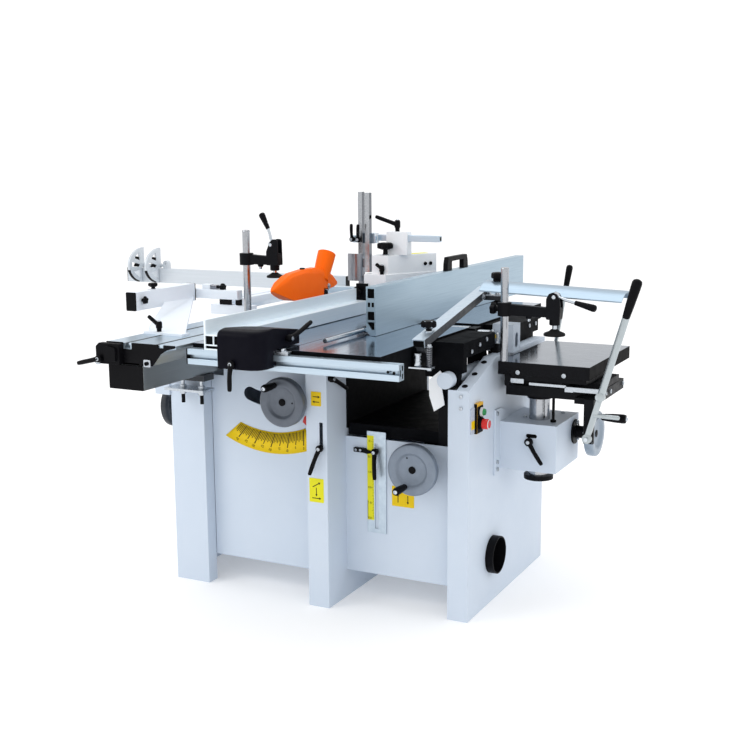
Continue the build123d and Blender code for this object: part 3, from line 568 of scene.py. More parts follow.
# posts' right faces above 1085 in dark chrome: painted dark reflection band
paint("pressure_posts", CHROME_AND_REFLECTION, lambda x, y, z: z > 1085, (1, 0, 0))
dress("spindle", STEEL, 1.0)
dress("saw_trunnion", BLACKC, 1.0)
dress("saw_arbor_unit", BLACKC, 0.6)
dress("saw_blade", STEEL, 0)
dress("saw_guard", ORANGE, 3, 3)
for n in ("saw_handwheel", "thicknesser_handwheel", "mortiser_handwheel"):
    dress(n, GREY, 2, 3)
dress("left_handwheel", BLACKC, 2, 3)
for n in ("carriage_lock_lever", "left_clamp_lever", "rip_fence_lever", "rip_clamp_lever", "depth_lock_lever", "feed_lever",
          "mortiser_lock_lever", "right_clamp_lever"):
    dress(n, BLACKP, 1.2)
dress("outrigger_frame", WHITE_O, 1.2)
dress("crosscut_fence", ALU_W, 0.8)
for n in ("flip_stop_a", "flip_stop_b"):
    dress(n, ALU_W, 0.8)
dress("left_clamp_column", STEEL_C, 1.2)
dress("right_clamp_column", STEEL_C, 1.2)
dress("left_clamp_arm", BLACKC, 2.5, 3)
dress("right_clamp_arm", BLACKC, 2.5, 3)
dress("rip_fence_bar", ALU_R, 0.8)
dress("rip_fence_block", NAVY, 6, 4)
dress("planer_fence", ALU_F, 0.8)
dress("guard_arm", ALU_C, 1.0)
dress("guard_plate", ALU_G, 0.8)
dress("cutterblock", STEEL, 0.5)
dress("depth_scale", ALU_C, 0.5)
dress("mortiser_column", STEEL_C, 1.0)
dress("cross_slide", BLACKC, 1.2)
dress("mortise_table", BLACKG, 1.5, 3)
paint("mortise_table", IRON_M, lambda x, y, z: z > 785.5)
# mortise table's right faces darker: painted shade
paint("mortise_table", SHADE_BLACK, lambda x, y, z: x > 309, (1, 0, 0))
dress("plunge_lever", ZINC, 1.0)
dress("traverse_lever", ZINC, 1.0)
dress("start_button", GREEN, 1.5, 3)
dress("stop_button", RED, 2, 3)

# ------------------------------------------------------------------ handwheels
GREY_L = finish_mat("wheel_grey_light", (0.205, 0.245, 0.305), (0.178, 0.215, 0.270), 0.36, metallic=0.3, scale=50, var=0.5,
                    bump=0.10, bscale=700, bdist=0.0003)
SILVER = finish_mat("wheel_silver", (0.30, 0.36, 0.43), (0.26, 0.32, 0.39), 0.36, metallic=0.35, scale=50, var=0.5,
                    bump=0.10, bscale=700, bdist=0.0003)


def handwheel(tag, body, node, axis, a, b, face, back, r, hub, ga, gb, grip, mat, shaft, dots=(), gs=1.0):
    """Dished wheel with a turned rim, a plugged hub and a grip on a stud."""
    s = 1 if back > face else -1
    w, k = abs(back - face), r / 78

    def f(t):
        return face + s * t * w

    def g(d):
        return face - s * d

    Mesh().lathe(axis, a, b, [(f(.30), 0), (f(.30), 43 * k), (f(.27), 45 * k), (f(.07), 50 * k), (f(.02), 52 * k), (f(0), 55 * k),
                              (f(0), 71 * k), (f(.04), 75 * k), (f(.12), 77.4 * k), (f(.22), 78 * k), (f(.85), 78 * k),
                              (f(.95), 77 * k), (f(1), 74.5 * k), (f(1), 60 * k), (f(.95), 58 * k), (f(.60), 56 * k),
                              (f(.55), 52 * k), (f(.55), hub + 4), (f(.6), hub), (f(1), hub), (f(1), 0)], 96).make(
        tag + "_rim", mat, body, slot="grey_cast", rep=(node,))
    d = Mesh()
    d.lathe(axis, a, b, [(f(.20), 0), (f(.20), 9.5), (f(.23), 11.5), (f(.32), 11.5), (f(.32), 0)], 32)
    for da, db in dots:
        d.lathe(axis, a + da, b + db, [(f(.27), 0), (f(.27), 2.6), (f(.32), 2.8), (f(.32), 0)], 14)
    L = grip
    d.lathe(axis, a + ga, b + gb, [(g(-2), 0), (g(-2), 7), (g(3), 8.6 * gs), (g(6), 9.6 * gs), (g(8), 8.4 * gs), (g(11), 9.8 * gs), (g(L * .5), 11.8 * gs),
                                   (g(L * .84), 12.4 * gs), (g(L * .93), 11.4 * gs), (g(L * .955), 9), (g(L * .955), 0)], 36)
    d.make(tag + "_grip", BLACKP, body, slot="black_plastic")
    z = Mesh()
    z.lathe(axis, a + ga, b + gb, [(g(L * .94), 0), (g(L * .94), 6.4), (g(L * .985), 6.4), (g(L), 5.4), (g(L), 3.4), (g(L * .97), 3),
                                   (g(L * .97), 0)], 24)
    z.lathe(axis, a, b, [(shaft[0], 0), (shaft[0], 10), (shaft[1] - 2, 10), (shaft[1], 8.5), (shaft[1], 0)], 32)
    z.make(tag + "_steel", STEEL, body, slot="bright_steel")


handwheel("saw_wheel", "saw_wheel", "saw_handwheel", "y", -579, 658, -114, -86, 78, 20, -20, 54, 68, GREY, (-87, 60), ((36, 0),))
handwheel("thick_wheel", "thick_wheel", "thicknesser_handwheel", "y", -171, 470, -38, -10, 80, 20, -20, -52, 70, GREY_L, (-11, 60),
          ((-17, 36),))
handwheel("mort_wheel", "mort_wheel", "mortiser_handwheel", "x", 437, 528, 271, 242, 73, 17, 28, 49, 84, SILVER, (186, 245), (), 1.2)
# left handwheel in dark grey: painted shade, the wheel standing in shadow
handwheel("left_wheel", "left_wheel", "left_handwheel", "x", 73, 575, -1126, -1102, 78, 18, 52, 12, 40, SHADE_GREY, (-1103, -1041))


# ------------------------------------------------------------------ clamping levers
def screw_end(p, d, r=5.6):
    return Mesh().turn(Vector(p) - Vector(d) * 0.5, d, [(0, 0), (0, r), (2.4, r), (3.0, r - 0.6), (3.0, r * 0.55), (1.2, r * 0.48),
                                                        (1.2, 0)], 20)


for body, node, p, d, tip, hr, hl in (
        ("rip_lever", "rip_fence_lever", (-536, -437, 834), (0, -1, 0), (-538, -452, 757), 11, 13),
        ("rip_clamp", "rip_clamp_lever", (-449, -286, 892), (1, 0, 0), (-421, -189, 930), 11, 20),
        ("depth_lock", "depth_lock_lever", (-325, 36, 497), (0, -1, 0), (-319, 11, 411), 11, 20),
        ("feed", "feed_lever", (-457, -80.5, 520), (0, -1, 0), (-487, -105, 436), 11, 19),
        ("mort_lock", "mortiser_lock_lever", (105, 249, 527), (0, -1, 0), (153, 225, 461), 13, 21)):
    Mesh().ratchet(p, d, tip, hr, hl).make(body + "_handle", BLACKP, body, slot="black_plastic", rep=(node,))
    screw_end(Vector(p) + Vector(d) * hl, d).make(body + "_screw", ZINC, body, slot="bright_steel")

# levers and knob of the spindle hood
m = Mesh()
m.ratchet((-527, 615, 1146), (0, 0, 1), (-602, 590, 1199), 10.5, 40, 8, 6.5, 0)
m.ratchet((-556, 547, 998), (0, 0, 1), (-576, 540, 1036), 9, 32, 6.8, 5.8, 0)
m.ratchet((-682, 577, 1118), (0, -1, 0), (-675, 545, 1173), 9, 22, 6.2, 5.6, 3)
m.ratchet((-648, 555, 1118), (0, -1, 0), (-641, 532, 1173), 9, 18, 6.2, 5.6, 3)
m.turn((-553, 570, 1064), (0, 0, 1), [(0, 0), (0, 9), (19, 8), (22, 17, 0.5), (25, 24, 1), (27, 26, 1), (40, 26, 1), (44, 23, 0.9),
                                      (45, 15, 0.4), (43.5, 0)], 70, 5)
m.make("hood_levers", BLACKP, "base", slot="black_plastic")
m = Mesh()
for p, d in (((-527, 615, 1186), (0, 0, 1)), ((-556, 547, 1031), (0, 0, 1)), ((-682, 555, 1118), (0, -1, 0)), ((-648, 537, 1118), (0, -1, 0))):
    m.turn(p, d, [(-0.5, 0), (-0.5, 5.4), (2, 5.4), (2.6, 4.8), (2.6, 3), (1, 2.6), (1, 0)], 20)
m.lathe("z", -553, 570, [(1064, 0), (1064, 13), (1066.5, 13), (1067.5, 12), (1067.5, 0)], 28)
m.make("hood_screws", ZINC, "base", slot="bright_steel")
m = Mesh()
n = Vector((0.890, -0.456, 0))
for t in (166, 190):
    m.turn(Vector((-535, 555, 1028)) + Vector((0.456, 0.890, 0)) * t, n, [(0, 0), (0, 6.5), (4, 6.5), (5, 5.6), (5, 3.4), (2, 3), (2, 0)], 24)
m.make("hood_side_screws", BLACKP, "base", slot="black_plastic")
m = Mesh()
m.prism("y", rounded([(-692, 1106), (-596, 1106), (-596, 1131), (-692, 1131)], 4), 579.5, 592)
m.make("hood_bracket", ALU_X, "base", 0.8, slot="aluminium")
m = Mesh()
pts = [(-694, 552), (-684, 547), (-672, 544), (-660, 544), (-648, 547), (-638, 553)]
m.loft([[(x, y, z) for x, y in pts] + [(x, y + 2, z) for x, y in reversed(pts)] for z in (972, 1068)])
m.make("pressure_shoe", STEEL_D, "posts", slot="bright_steel")
paint("spindle_hood", ALU_X, lambda x, y, z: (1111 < z < 1135 and 604 < y < 630 and (x < -563 or x > -480)) or (916 < z < 954 and x < -644) or (x < -600 and z > 1100))
Mesh().prism("z", rounded([(-522, 598), (-494, 650), (-456, 724), (-478, 738), (-508, 690)], 4), 1064.1, 1065.2).make("hood_plate", LIME, "base", slot="yellow_scale")

# ------------------------------------------------------------------ saw guard
m = Mesh()
rings = []
for y, zb, zs, zt, w, wt in ((8, 985, 987, 989, 3, 2), (14, 984, 988, 992, 6, 4), (24, 979, 991, 998, 12, 8), (50, 968, 1001, 1012, 19, 12),
                             (90, 953, 1010, 1027, 23, 13), (122, 945, 1015, 1035, 24, 12), (200, 942, 1018, 1041, 24, 12),
                             (280, 943, 1017, 1041, 24, 13), (306, 945, 1014, 1038, 24, 14), (310, 968, 1012, 1036, 23.5, 14),
                             (350, 964, 1004, 1024, 22, 14), (390, 966, 992, 1006, 18, 12), (426, 972, 978, 983, 11, 8)):
    rings.append([(-680 + a, y, z) for a, z in ((-w, zb), (w, zb), (w, zs), (w * 0.88, zs + (zt - zs) * 0.55), (wt, zt), (-wt, zt),
                                                (-w * 0.88, zs + (zt - zs) * 0.55), (-w, zs))])
m.loft(rings)
# chip spout: round tube leaning back, with an open end
d = Vector((0, 41, 74)).normalized()
u = Vector((0, 74, -41)).normalized()
rings = []
for t, r in ((-14, 27.5), (10, 28.5), (40, 30), (70, 31), (85, 31.2), (85, 28.2), (70, 28), (40, 27), (12, 25)):
    c0 = Vector((-680, 332, 1008)) + d * t
    rings.append([tuple(c0 + Vector((1, 0, 0)) * (r * math.cos(g)) + u * (r * math.sin(g)))
                  for g in [2 * math.pi * i / 40 for i in range(40)]])
m.loft(rings)
m.make("guard_shell", ORANGE, "guard", 2.2, 3, 28, 50, "orange_plastic", ("saw_guard",))
m = Mesh()
m.lathe("x", 343, 962, [(-703, 0), (-703, 4), (-657, 4), (-657, 0)], 20)
for x, o in ((-656, 1), (-704, -1)):
    m.hexbolt("x", 343, 974, x - o * 2, o, 6, 4)
m.make("guard_bolts", ZINC, "guard", slot="bright_steel")
m = Mesh()
m.turn((-680, 205, 1040), (0, 0, 1), [(0, 0), (0, 9), (4, 9), (5.5, 7.5), (5.5, 0)], 24)
m.make("guard_plug", BLACKP, "guard", slot="black_plastic")

# ------------------------------------------------------------------ tilt scale
m = Mesh()


def on_scale(r, a):
    g = math.radians(a)
    return Vector((-680 + r * math.sin(g), -6.5, 865 - r * math.cos(g))), Vector((math.cos(g), 0, math.sin(g))), \
        Vector((-math.sin(g), 0, math.cos(g)))


for i in range(45):
    a = 20.6 - i * 0.93
    p = on_scale(336, a)[0]
    k = math.radians(-22.5 + 1.05 * a)
    u, v = Vector((math.cos(k), 0, math.sin(k))), Vector((-math.sin(k), 0, math.cos(k)))
    big = i % 5 == 0
    L = 50 if i % 10 == 0 else (43 if big else (34 if i % 2 else 29))
    w = 1.7 if i % 10 == 0 else (1.35 if big else 1.05)
    m.slab(p, u, v, (0, -1, 0), -w, w, -L, 0, -0.2, 0.25)
    if big:
        m.figures(str(i), p - v * (59 if i % 10 == 0 else 52), u, v, (0, -1, 0), 8.0, -0.2, 0.25)
m.make("scale_marks", INK, "base", slot="black_plastic")

# ------------------------------------------------------------------ depth scale
Mesh().box(-357, -334, 36.1, 36.7, 272, 546).make("depth_tape", LIME, "thick_table", slot="yellow_scale")
m = Mesh()
for i in range(52):
    z = 278 + i * 5
    m.box(-334.6 - (9 if i % 10 == 0 else (6.5 if i % 5 == 0 else 4)), -334.4, 35.9, 36.3, z - 0.4, z + 0.4)
    if i % 10 == 0:
        m.figures(str(260 - i * 5), (-350, 36.3, z), (1, 0, 0), (0, 0, 1), (0, -1, 0), 6.5, -0.2, 0.3)
m.box(-356.4, -355, 35.9, 36.3, 274, 336)
m.make("depth_marks", INK, "thick_table", slot="black_plastic")
m = Mesh()
m.prism("y", rounded([(-404, 489), (-372, 489), (-356, 486), (-342, 490), (-342, 497), (-356, 500), (-372, 503), (-404, 503)], 2), 32.6, 35.5)
m.make("depth_pointer", BLACKP, "base", 0.6, slot="black_plastic")
m = Mesh()
m.capscrew("y", -396, 496, 33, -1, 4.2, 2.5).capscrew("y", -380, 496, 33, -1, 4.2, 2.5)
m.make("pointer_screws", ZINC, "base", slot="bright_steel")
paint("thicknesser_front_panel", BLACKP, lambda x, y, z: y < 40.5 and -403 < x < -361 and 488 < z < 504)


# ------------------------------------------------------------------ instruction plates, with plain arrows only
def plate(tag, x0, x1, z0, z1, y, mat, arrows):
    Mesh().prism("y", rrect(x0, x1, z0, z1, 2.5), y - 0.9, y).make(tag, mat, "base", slot="yellow_scale")
    k = Mesh()
    for ax, az, L, ang in arrows:
        c, s = math.cos(math.radians(ang)), math.sin(math.radians(ang))
        u, v = Vector((c, 0, s)), Vector((-s, 0, c))
        p = Vector((ax, y - 0.9, az))
        k.slab(p, u, v, (0, -1, 0), -L / 2, L / 2 - 4, -1.3, 1.3, -0.1, 0.25)
        t = [p + u * (L / 2 - 5) + v * 4.2, p + u * (L / 2 + 2), p + u * (L / 2 - 5) - v * 4.2]
        n = Vector((0, -0.25, 0))
        k.add([*t, *[q + n for q in t]], [(0, 1, 2), (5, 4, 3), (0, 3, 4, 1), (1, 4, 5, 2), (2, 5, 3, 0)])
    k.make(tag + "_marks", INK, "base", slot="black_plastic")


plate("plate_upper", -490, -455, 651, 696, -80, YELLOW, ((-472, 680, 22, 0), (-472, 664, 22, 180)))
plate("plate_feed", -501, -450, 344, 421, -80, LIME, ((-476, 400, 30, 30), (-476, 378, 26, -90), (-476, 357, 30, 0)))
plate("plate_height", -273, -197, 327, 392, 41, YELLOW, ((-252, 352, 26, 90), (-218, 352, 26, -90)))

# red pointer of the tilt scale
m = Mesh()
m.prism("y", [(-556, 596), (-546, 602), (-546, 566), (-562, 578)], -12, -10)
m.make("tilt_pointer", RED, "base", 0.4, slot="red_button")

# ------------------------------------------------------------------ sliding table
m = Mesh()
m.prism("y", rounded([(-1005, 866), (-944, 866), (-944, 846), (-911, 846), (-911, 866), (-814, 866), (-814, 856), (-795, 856),
                      (-795, 866), (-753, 866), (-756, 858), (-784, 851), (-806, 838), (-819, 822), (-832, 806), (-838, 800),
                      (-1005, 800)], 2), -408.5, -404.2)
m.prism("y", rounded([(-1030, 800), (-943, 800), (-943, 863), (-1018, 863), (-1030, 852)], 5), -428, -408.6)
m.prism("y", rounded([(-994, 810), (-952, 810), (-952, 850), (-986, 856), (-994, 846)], 6), -436, -427.8)
m.prism("y", rounded([(-985, 798.6), (-884, 798.6), (-884, 806), (-985, 806)], 1), -408.5, -404.2)
m.prism("y", rounded([(-1005, 866), (-944, 866), (-944, 846), (-911, 846), (-911, 866), (-814, 866), (-814, 856), (-795, 856),
                      (-795, 866), (-753, 866), (-756, 858), (-784, 851), (-806, 838), (-819, 822), (-832, 806), (-838, 800),
                      (-1005, 800)], 2), 1000.2, 1004.5)
m.make("carriage_cap", BLACKP, "carriage", 0.9, slot="black_plastic")
Mesh().prism("y", rrect(-1004, -875, 721, 798, 4), 1000.1, 1004.5).make("beam_rear_cap", BLACKP, "base", 0.8, slot="black_plastic")
m = Mesh()
m.prism("y", rrect(-866, -841, 797.5, 819, 3), -413, -408.6)
m.turn((-1022, -424, 806), (0, -1, 0), [(-0.5, 0), (-0.5, 9), (9, 9), (11, 7.5), (11, 0)], 28)
m.make("carriage_clip", ZINC, "carriage", 0.7, slot="bright_steel")
Mesh().capscrew("y", -854, 808, -413, -1, 6, 5).make("carriage_clip_bolt", BLACKP, "carriage", slot="black_plastic")
m = Mesh()
m.prism("y", rrect(-1003, -876, 722, 797, 3), -405.4, -402.1)
m.make("beam_cap", BLACKP, "base", 0.8, slot="black_plastic")
Mesh().ratchet((-1012, -428.4, 816), (0, -1, 0), (-1092, -440, 797), 11, 16, 8, 6.4, 3).make(
    "carriage_lock_handle", BLACKP, "carriage_lock", slot="black_plastic", rep=("carriage_lock_lever",))
screw_end((-1012, -444, 816), (0, -1, 0)).make("carriage_lock_screw", ZINC, "carriage_lock", slot="bright_steel")
m = Mesh()
m.ratchet((-953, -217, 872.2), (0, 0, 1), (-986, -227, 921), 10, 32, 7, 5.8, 0)
# outrigger: caps of the tube, knobs
m.prism("y", rrect(-1168.6, -1129.4, 913.4, 974.6, 4), -105.5, -100.9)
m.prism("y", rrect(-1168.6, -1129.4, 913.4, 974.6, 4), 225.9, 230)
m.knob((-1149, 16, 974.2), (0, 0, 1), 15, 21, 5)
m.knob((-1129.8, -70, 947), (1, 0, 0), 12, 18, 5)
m.make("outrigger_knobs", BLACKP, "carriage", 0.8, slot="black_plastic")
m = Mesh()
m.turn((-953, -217, 904), (0, 0, 1), [(-0.5, 0), (-0.5, 5.4), (2, 5.4), (2.6, 4.8), (2.6, 3), (1, 2.6), (1, 0)], 20)
m.lathe("z", -1149, 16, [(974, 0), (974, 9), (975.5, 9), (976, 8.4), (976, 0)], 28)
m.turn((-1130, -52, 948), (1, 0, 0), [(-0.5, 0), (-0.5, 5), (6, 5), (7, 4), (7, 0)], 20)
m.make("outrigger_screws", ZINC, "carriage", slot="bright_steel")

m = Mesh()
for x0, x1 in ((-1141, -1088), (-1072, -1044)):
    m.prism("y", rrect(x0, x1, 881.2, 907, 2), 394, 700)
m.make("outrigger_tubes", WHITE_O, "carriage", 0.6, slot="aluminium")
m = Mesh()
for x0, x1 in ((-1141, -1088), (-1072, -1044)):
    m.prism("y", rrect(x0 + 0.5, x1 - 0.5, 881.8, 906.4, 3), 390.5, 394.2)
m.make("outrigger_tube_caps", BLACKP, "carriage", 0.6, slot="black_plastic")

m = Mesh()
m.prism("x", rrect(230.5, 262, 922.5, 954.8, 3), -1150, -956)
m.prism("x", rrect(234, 258, 954.8, 972, 2), -1104, -1072)
m.make("outrigger_cross_tube", WHITE_O, "carriage", 0.6, slot="aluminium")
m = Mesh()
m.prism("x", rrect(236, 256, 954.8, 970, 2), -1072, -1046)
m.make("outrigger_clamp", STEEL_D, "carriage", 0.6, slot="bright_steel")
m = Mesh()
m.knob((-1046, 246, 963), (1, 0, 0), 12, 29, 5)
m.make("outrigger_clamp_knob", BLACKP, "carriage", 0.4, slot="black_plastic")

# flip stops: dark rubbing pads in the windows; the dark arc along the lower edge is painted shade on the stop's
# thickness
for k, x0 in (("a", -1878), ("b", -1790)):
    m = Mesh()
    m.prism("x", rounded([(838, 990), (862, 983), (862, 998), (845, 1002)], 2), x0 + 2, x0 + 8)
    m.prism("x", rounded([(830, 960), (858, 957), (864, 967), (838, 973)], 2), x0 + 2, x0 + 8)
    t = [math.radians(102 + 56 * i / 14) for i in range(15)]
    lo = [(895 - 103.6 * math.sin(a), 963 + 75.6 * math.cos(a)) for a in t]
    hi = [(895 - 99.5 * math.sin(a), 963 + 71.5 * math.cos(a)) for a in reversed(t)]
    m.prism("x", lo + hi, x0 - 0.5, x0 + 10.5)
    m.make("stop_pads_and_edge_shade_" + k, BLACKP, "stop_" + k, slot="black_plastic")
m = Mesh()
m.prism("x", rrect(880.2, 909.8, 890.2, 949.8, 2), -1951, -1947.8)
m.prism("x", rrect(880.2, 909.8, 890.2, 949.8, 2), -880.2, -877)
m.make("crosscut_caps", BLACKP, "crosscut", 0.6, slot="black_plastic")

# ------------------------------------------------------------------ quick clamps
def quick_clamp(tag, arm, lever, cx, cy, cz, hx, head, rise, stub, rodpath, grip, drum, pad_z, neck_z, cyl_z, nodes, knob):
    """Cast clamp arm on its column with a pressure pad, and the cam lever with its grip."""
    a = Mesh()
    pr = 28.5 if tag == "left" else 32.5
    a.prism("z", circle(cx, cy, 24 if tag == "left" else 21, 48), cz[0], cz[1], [list(reversed(circle(cx, cy, 13.1 if tag == "left" else 12.1, 40)))])
    x0 = cx + (20 if tag == "left" else 17)
    a.prism("y", rounded([(x0, cz[0] + 3), (hx - 20, cz[0] + 3), (hx - 10, cz[0] + 6), (hx - 10, cz[0] + 30), (hx - 24, cz[0] + 32), (x0, cz[1] - 4)], 4),
            cy - 12, cy + 12)
    lowz = min(z for x, z in head)
    mid = lowz + 40
    a.prism("y", rounded([(x, z) for x, z in head if z <= mid + 8] + [], 3), cy - 15, cy + 15)
    for s0, s1 in ((cy - 16, cy - 10.2), (cy + 10.2, cy + 16)):
        a.prism("y", rounded(head, 6), s0, s1)
    a.turn((hx, cy, cyl_z[0]), (0, 0, 1), [(0, 0), (0, 14), (2, 16), (cyl_z[1] - cyl_z[0], 16), (cyl_z[1] - cyl_z[0], 0)], 36)
    bz = cz[0] + 3
    bxm = (x0 + hx - 20) / 2
    a.turn((bxm, cy, bz + 2), (0, 0, -1), [(0, 0), (0, 11), (6, 10), (10, 8), (10, 0)], 28)
    if knob:
        a.turn((cx - 20, cy, (cz[0] + cz[1]) / 2), (-1, 0, 0), [(0, 0), (0, 8), (6, 8), (8, 12, .6), (10, 16, 1), (21, 16, 1), (24, 14, .8), (25, 8), (24, 0)], 60, 5)
    a.make(tag + "_clamp_casting", BLACKC, arm, 1.6, 2, 40, 40, "black_cast", nodes[:1])
    b = Mesh()
    b.turn((hx, cy, neck_z[0]), (0, 0, 1), [(0, 0), (0, 7), (neck_z[1] - neck_z[0], 7), (neck_z[1] - neck_z[0], 0)], 28)
    b.turn((bxm, cy, bz - 6), (0, 0, -1), [(0, 0), (0, 5), (9, 5), (10, 4.2), (10, 0)], 20)
    b.lathe("y", drum[0], drum[1], [(cy - 17.5, 0), (cy - 17.5, 5), (cy - 16.5, 6), (cy + 16.5, 6), (cy + 17.5, 5), (cy + 17.5, 0)], 24)
    b.make(tag + "_clamp_screw", STEEL, arm, slot="bright_steel")
    c = Mesh()
    h = pad_z[1] - pad_z[0]
    c.turn((hx, cy, pad_z[0]), (0, 0, 1), [(0, 0), (0, pr - 1.5), (1, pr), (h * .30, pr), (h * .42, pr - 2), (h * .72, 16), (h * .95, 11.5), (h, 10), (h, 0)], 48)
    c.make(tag + "_clamp_pad", RUBBER, arm, slot="black_plastic")
    d = Mesh()
    d.lathe("y", drum[0], drum[1], [(cy - 9.6, 0), (cy - 9.6, 11.5), (cy - 8.2, 13), (cy + 8.2, 13), (cy + 9.6, 11.5), (cy + 9.6, 0)], 40)
    d.sweep(rodpath, 5, 18)
    d.make(tag + "_clamp_rod", STEEL, lever, slot="bright_steel", rep=nodes[1:])
    e = Mesh()
    g0, g1 = Vector(grip[0]), Vector(grip[1])
    L = (g1 - g0).length
    e.turn(g0, g1 - g0, [(0, 0), (0, 6.2), (2, 7), (L * .5, 9.2), (L * .84, 11), (L * .94, 10), (L * .985, 6), (L, 0)], 32)
    e.make(tag + "_clamp_grip", BLACKP, lever, slot="black_plastic")


quick_clamp("left", "left_arm", "left_lever", -930, 255, (1044, 1084), -817,
            [(-841, 1046), (-795, 1046), (-796, 1086), (-797, 1130), (-803, 1134), (-816, 1134), (-828, 1122), (-841, 1092)], 0, 0,
            [(-826, 255, 1118), (-834, 255, 1150), (-846, 255, 1188)], ((-840, 255, 1168), (-867, 255, 1221)), (-824, 1115),
            (1004, 1021), (1019, 1030), (1028, 1047), ("left_clamp_arm", "left_clamp_lever"), False)
quick_clamp("right", "right_arm", "right_lever", 36, 193, (925, 966), 195,
            [(172, 922), (214, 922), (216, 962), (213, 984), (204, 999), (192, 1004), (180, 999), (172, 984)], 0, 0,
            [(199, 193, 990), (232, 193, 981), (272, 193, 971)], ((256, 193, 975), (322, 193, 959)), (195, 990),
            (873, 893), (891, 907), (905, 923), ("right_clamp_arm", "right_clamp_lever"), True)
m = Mesh()
m.lathe("z", -930, 255, [(1156, 0), (1156, 13.6), (1160, 13.6), (1163, 11), (1163, 0)], 36)
m.make("left_column_cap", STEEL_C, "carriage", slot="bright_steel")
m = Mesh()
m.lathe("z", 36, 193, [(1066, 0), (1066, 12.6), (1069, 12.6), (1072, 10), (1072, 0)], 36)
m.make("right_column_cap", STEEL_C, "mort_table", slot="bright_steel")

# ------------------------------------------------------------------ rip fence and rail
m = Mesh()
side_ = rounded([(-436.5, 817.5), (-436.5, 923), (-395, 929), (-300, 920), (-214.5, 909), (-214.5, 867.6), (-366, 867.6), (-366, 817.5)],
                [3, 34, 60, 0, 10, 2, 2, 3], 8)
rings = []
for x in (-586, -530, -488.6, -474, -462, -454, -448.6):
    t = max(0.0, x + 488.6)
    cut = 40 - math.sqrt(max(0.0, 1600 - t * t))
    rings.append([(x, y + cut * min(1.0, max(0.0, (-330 - y) / 70)), z) for y, z in side_])
m.loft(rings)
m.make("rip_block_cover", NAVY, "rip", 5, 4, 50, 60, "black_cast", ("rip_fence_block",))
m = Mesh()
# dark cells at the rip bar's ends: painted shade in the hollows
for y0, y1 in ((-426, -424), (485, 487)):
    for x0, x1, z0, z1 in ((-630.2, -604.8, 882.8, 907.2), (-601.2, -589.8, 882.8, 907.2), (-630.2, -589.8, 870.8, 879.2)):
        m.prism("y", rrect(x0, x1, z0, z1, 1.5), y0, y1)
m.make("rip_cores", SHADE_BLACK, "rip", slot="black_plastic")
m = Mesh()
m.prism("x", rrect(-361, -327.5, 806.5, 853.5, 2), -748, -744.6)
# three thin black pieces on the rail's right end: painted shade in its slots
for y0, y1, z0, z1 in ((-352, -347, 822, 838), (-341, -334, 812, 826), (-341, -334, 834, 848)):
    m.prism("x", rrect(y0, y1, z0, z1, 1.5), -56.3, -55.6)
m.capscrew("y", -70, 830, -360, -1, 4.5, 3).capscrew("y", -92, 830, -352, -1, 4, 3)
m.make("rail_caps_and_slot_shade", BLACKP, "base", 0.6, slot="black_plastic")
m = Mesh()
m.box(-449, -404, -356, -334, 853.4, 859)
m.prism("z", rrect(-482, -403, -358, -332, 6), 859, 864)
m.make("rip_shoe", ZINC, "rip", 0.8, slot="bright_steel")
m = Mesh()
m.hexbolt("z", -424, -345, 864, 1, 8, 6)
m.make("rip_shoe_bolt", STEEL, "rip", slot="bright_steel")

# ------------------------------------------------------------------ planer fence
m = Mesh()
# dark cells at the planer fence's ends: painted shade in the hollows
for y0, y1 in ((13, 15), (1329, 1331)):
    for z0, z1 in ((913.8, 940.2), (980.8, 1010.2)):
        m.prism("y", rrect(-338.2, -314.8, z0, z1, 1.5), y0, y1)
    m.prism("y", [(-338, 905), (-315, 905), (-315, 884.5), (-322, 884.5)], y0, y1)
    for x0, x1 in ((-337, -329), (-324, -316)):
        m.prism("y", rrect(x0, x1, 954, 968, 1), y0 - 4, y1)
m.make("fence_cores", SHADE_BLACK, "fence", slot="black_plastic")
m = Mesh()
for y0, y1 in ((9.2, 16), (1328, 1334.8)):
    m.prism("y", rrect(-338.4, -314.6, 945.6, 975.4, 1), y0, y1, [list(reversed(rrect(-337, -329, 954, 968, 1))), list(reversed(rrect(-324, -316, 954, 968, 1)))])
    m.prism("y", [(-338.4, 883.6), (-323, 883.6), (-338.4, 905)], y0, y1)
m.make("fence_webs", ALU_F, "fence", slot="aluminium")
m = Mesh()
out = rounded([(579, 1016), (581, 1040), (589, 1063), (672, 1063.2), (757, 1063), (765, 1040), (767, 1016)], [0, 10, 6, 0, 6, 10, 0], 6)
inn = rounded([(725, 1016), (725, 1047), (672, 1047.2), (621, 1047), (621, 1016)], [0, 3, 0, 3, 0], 4)
m.prism("x", out + inn, -335.6, -318.4)
m.make("fence_handle", BLACKP, "fence", 1.4, 2, slot="black_plastic")
paint("planer_fence", BLACKP, lambda x, y, z: z > 1016.2)
paint("planer_fence", STEEL, lambda x, y, z: y < 8.5 and x < -343)
paint("planer_fence", BLACKC, lambda x, y, z: y < 66.5 and x < -343.2 and y > 43 and (abs(z - 878) > 7 or x < -371))

# ------------------------------------------------------------------ spindle hood details
m = Mesh()
m.prism("x", rrect(504.6, 538.4, 916.6, 953.4, 3), -781, -777.8)
m.knob((-637, 528, 935), (0, -1, 0), 15, 24, 5)
m.prism("x", rrect(610, 624, 1116, 1130, 2), -362, -360.4)
m.make("hood_caps", BLACKP, "base", 0.7, slot="black_plastic")
paint("spindle_hood", BLACKC, lambda x, y, z: y < 539.8 and -651 < x < -605 and 904 < z < 966)

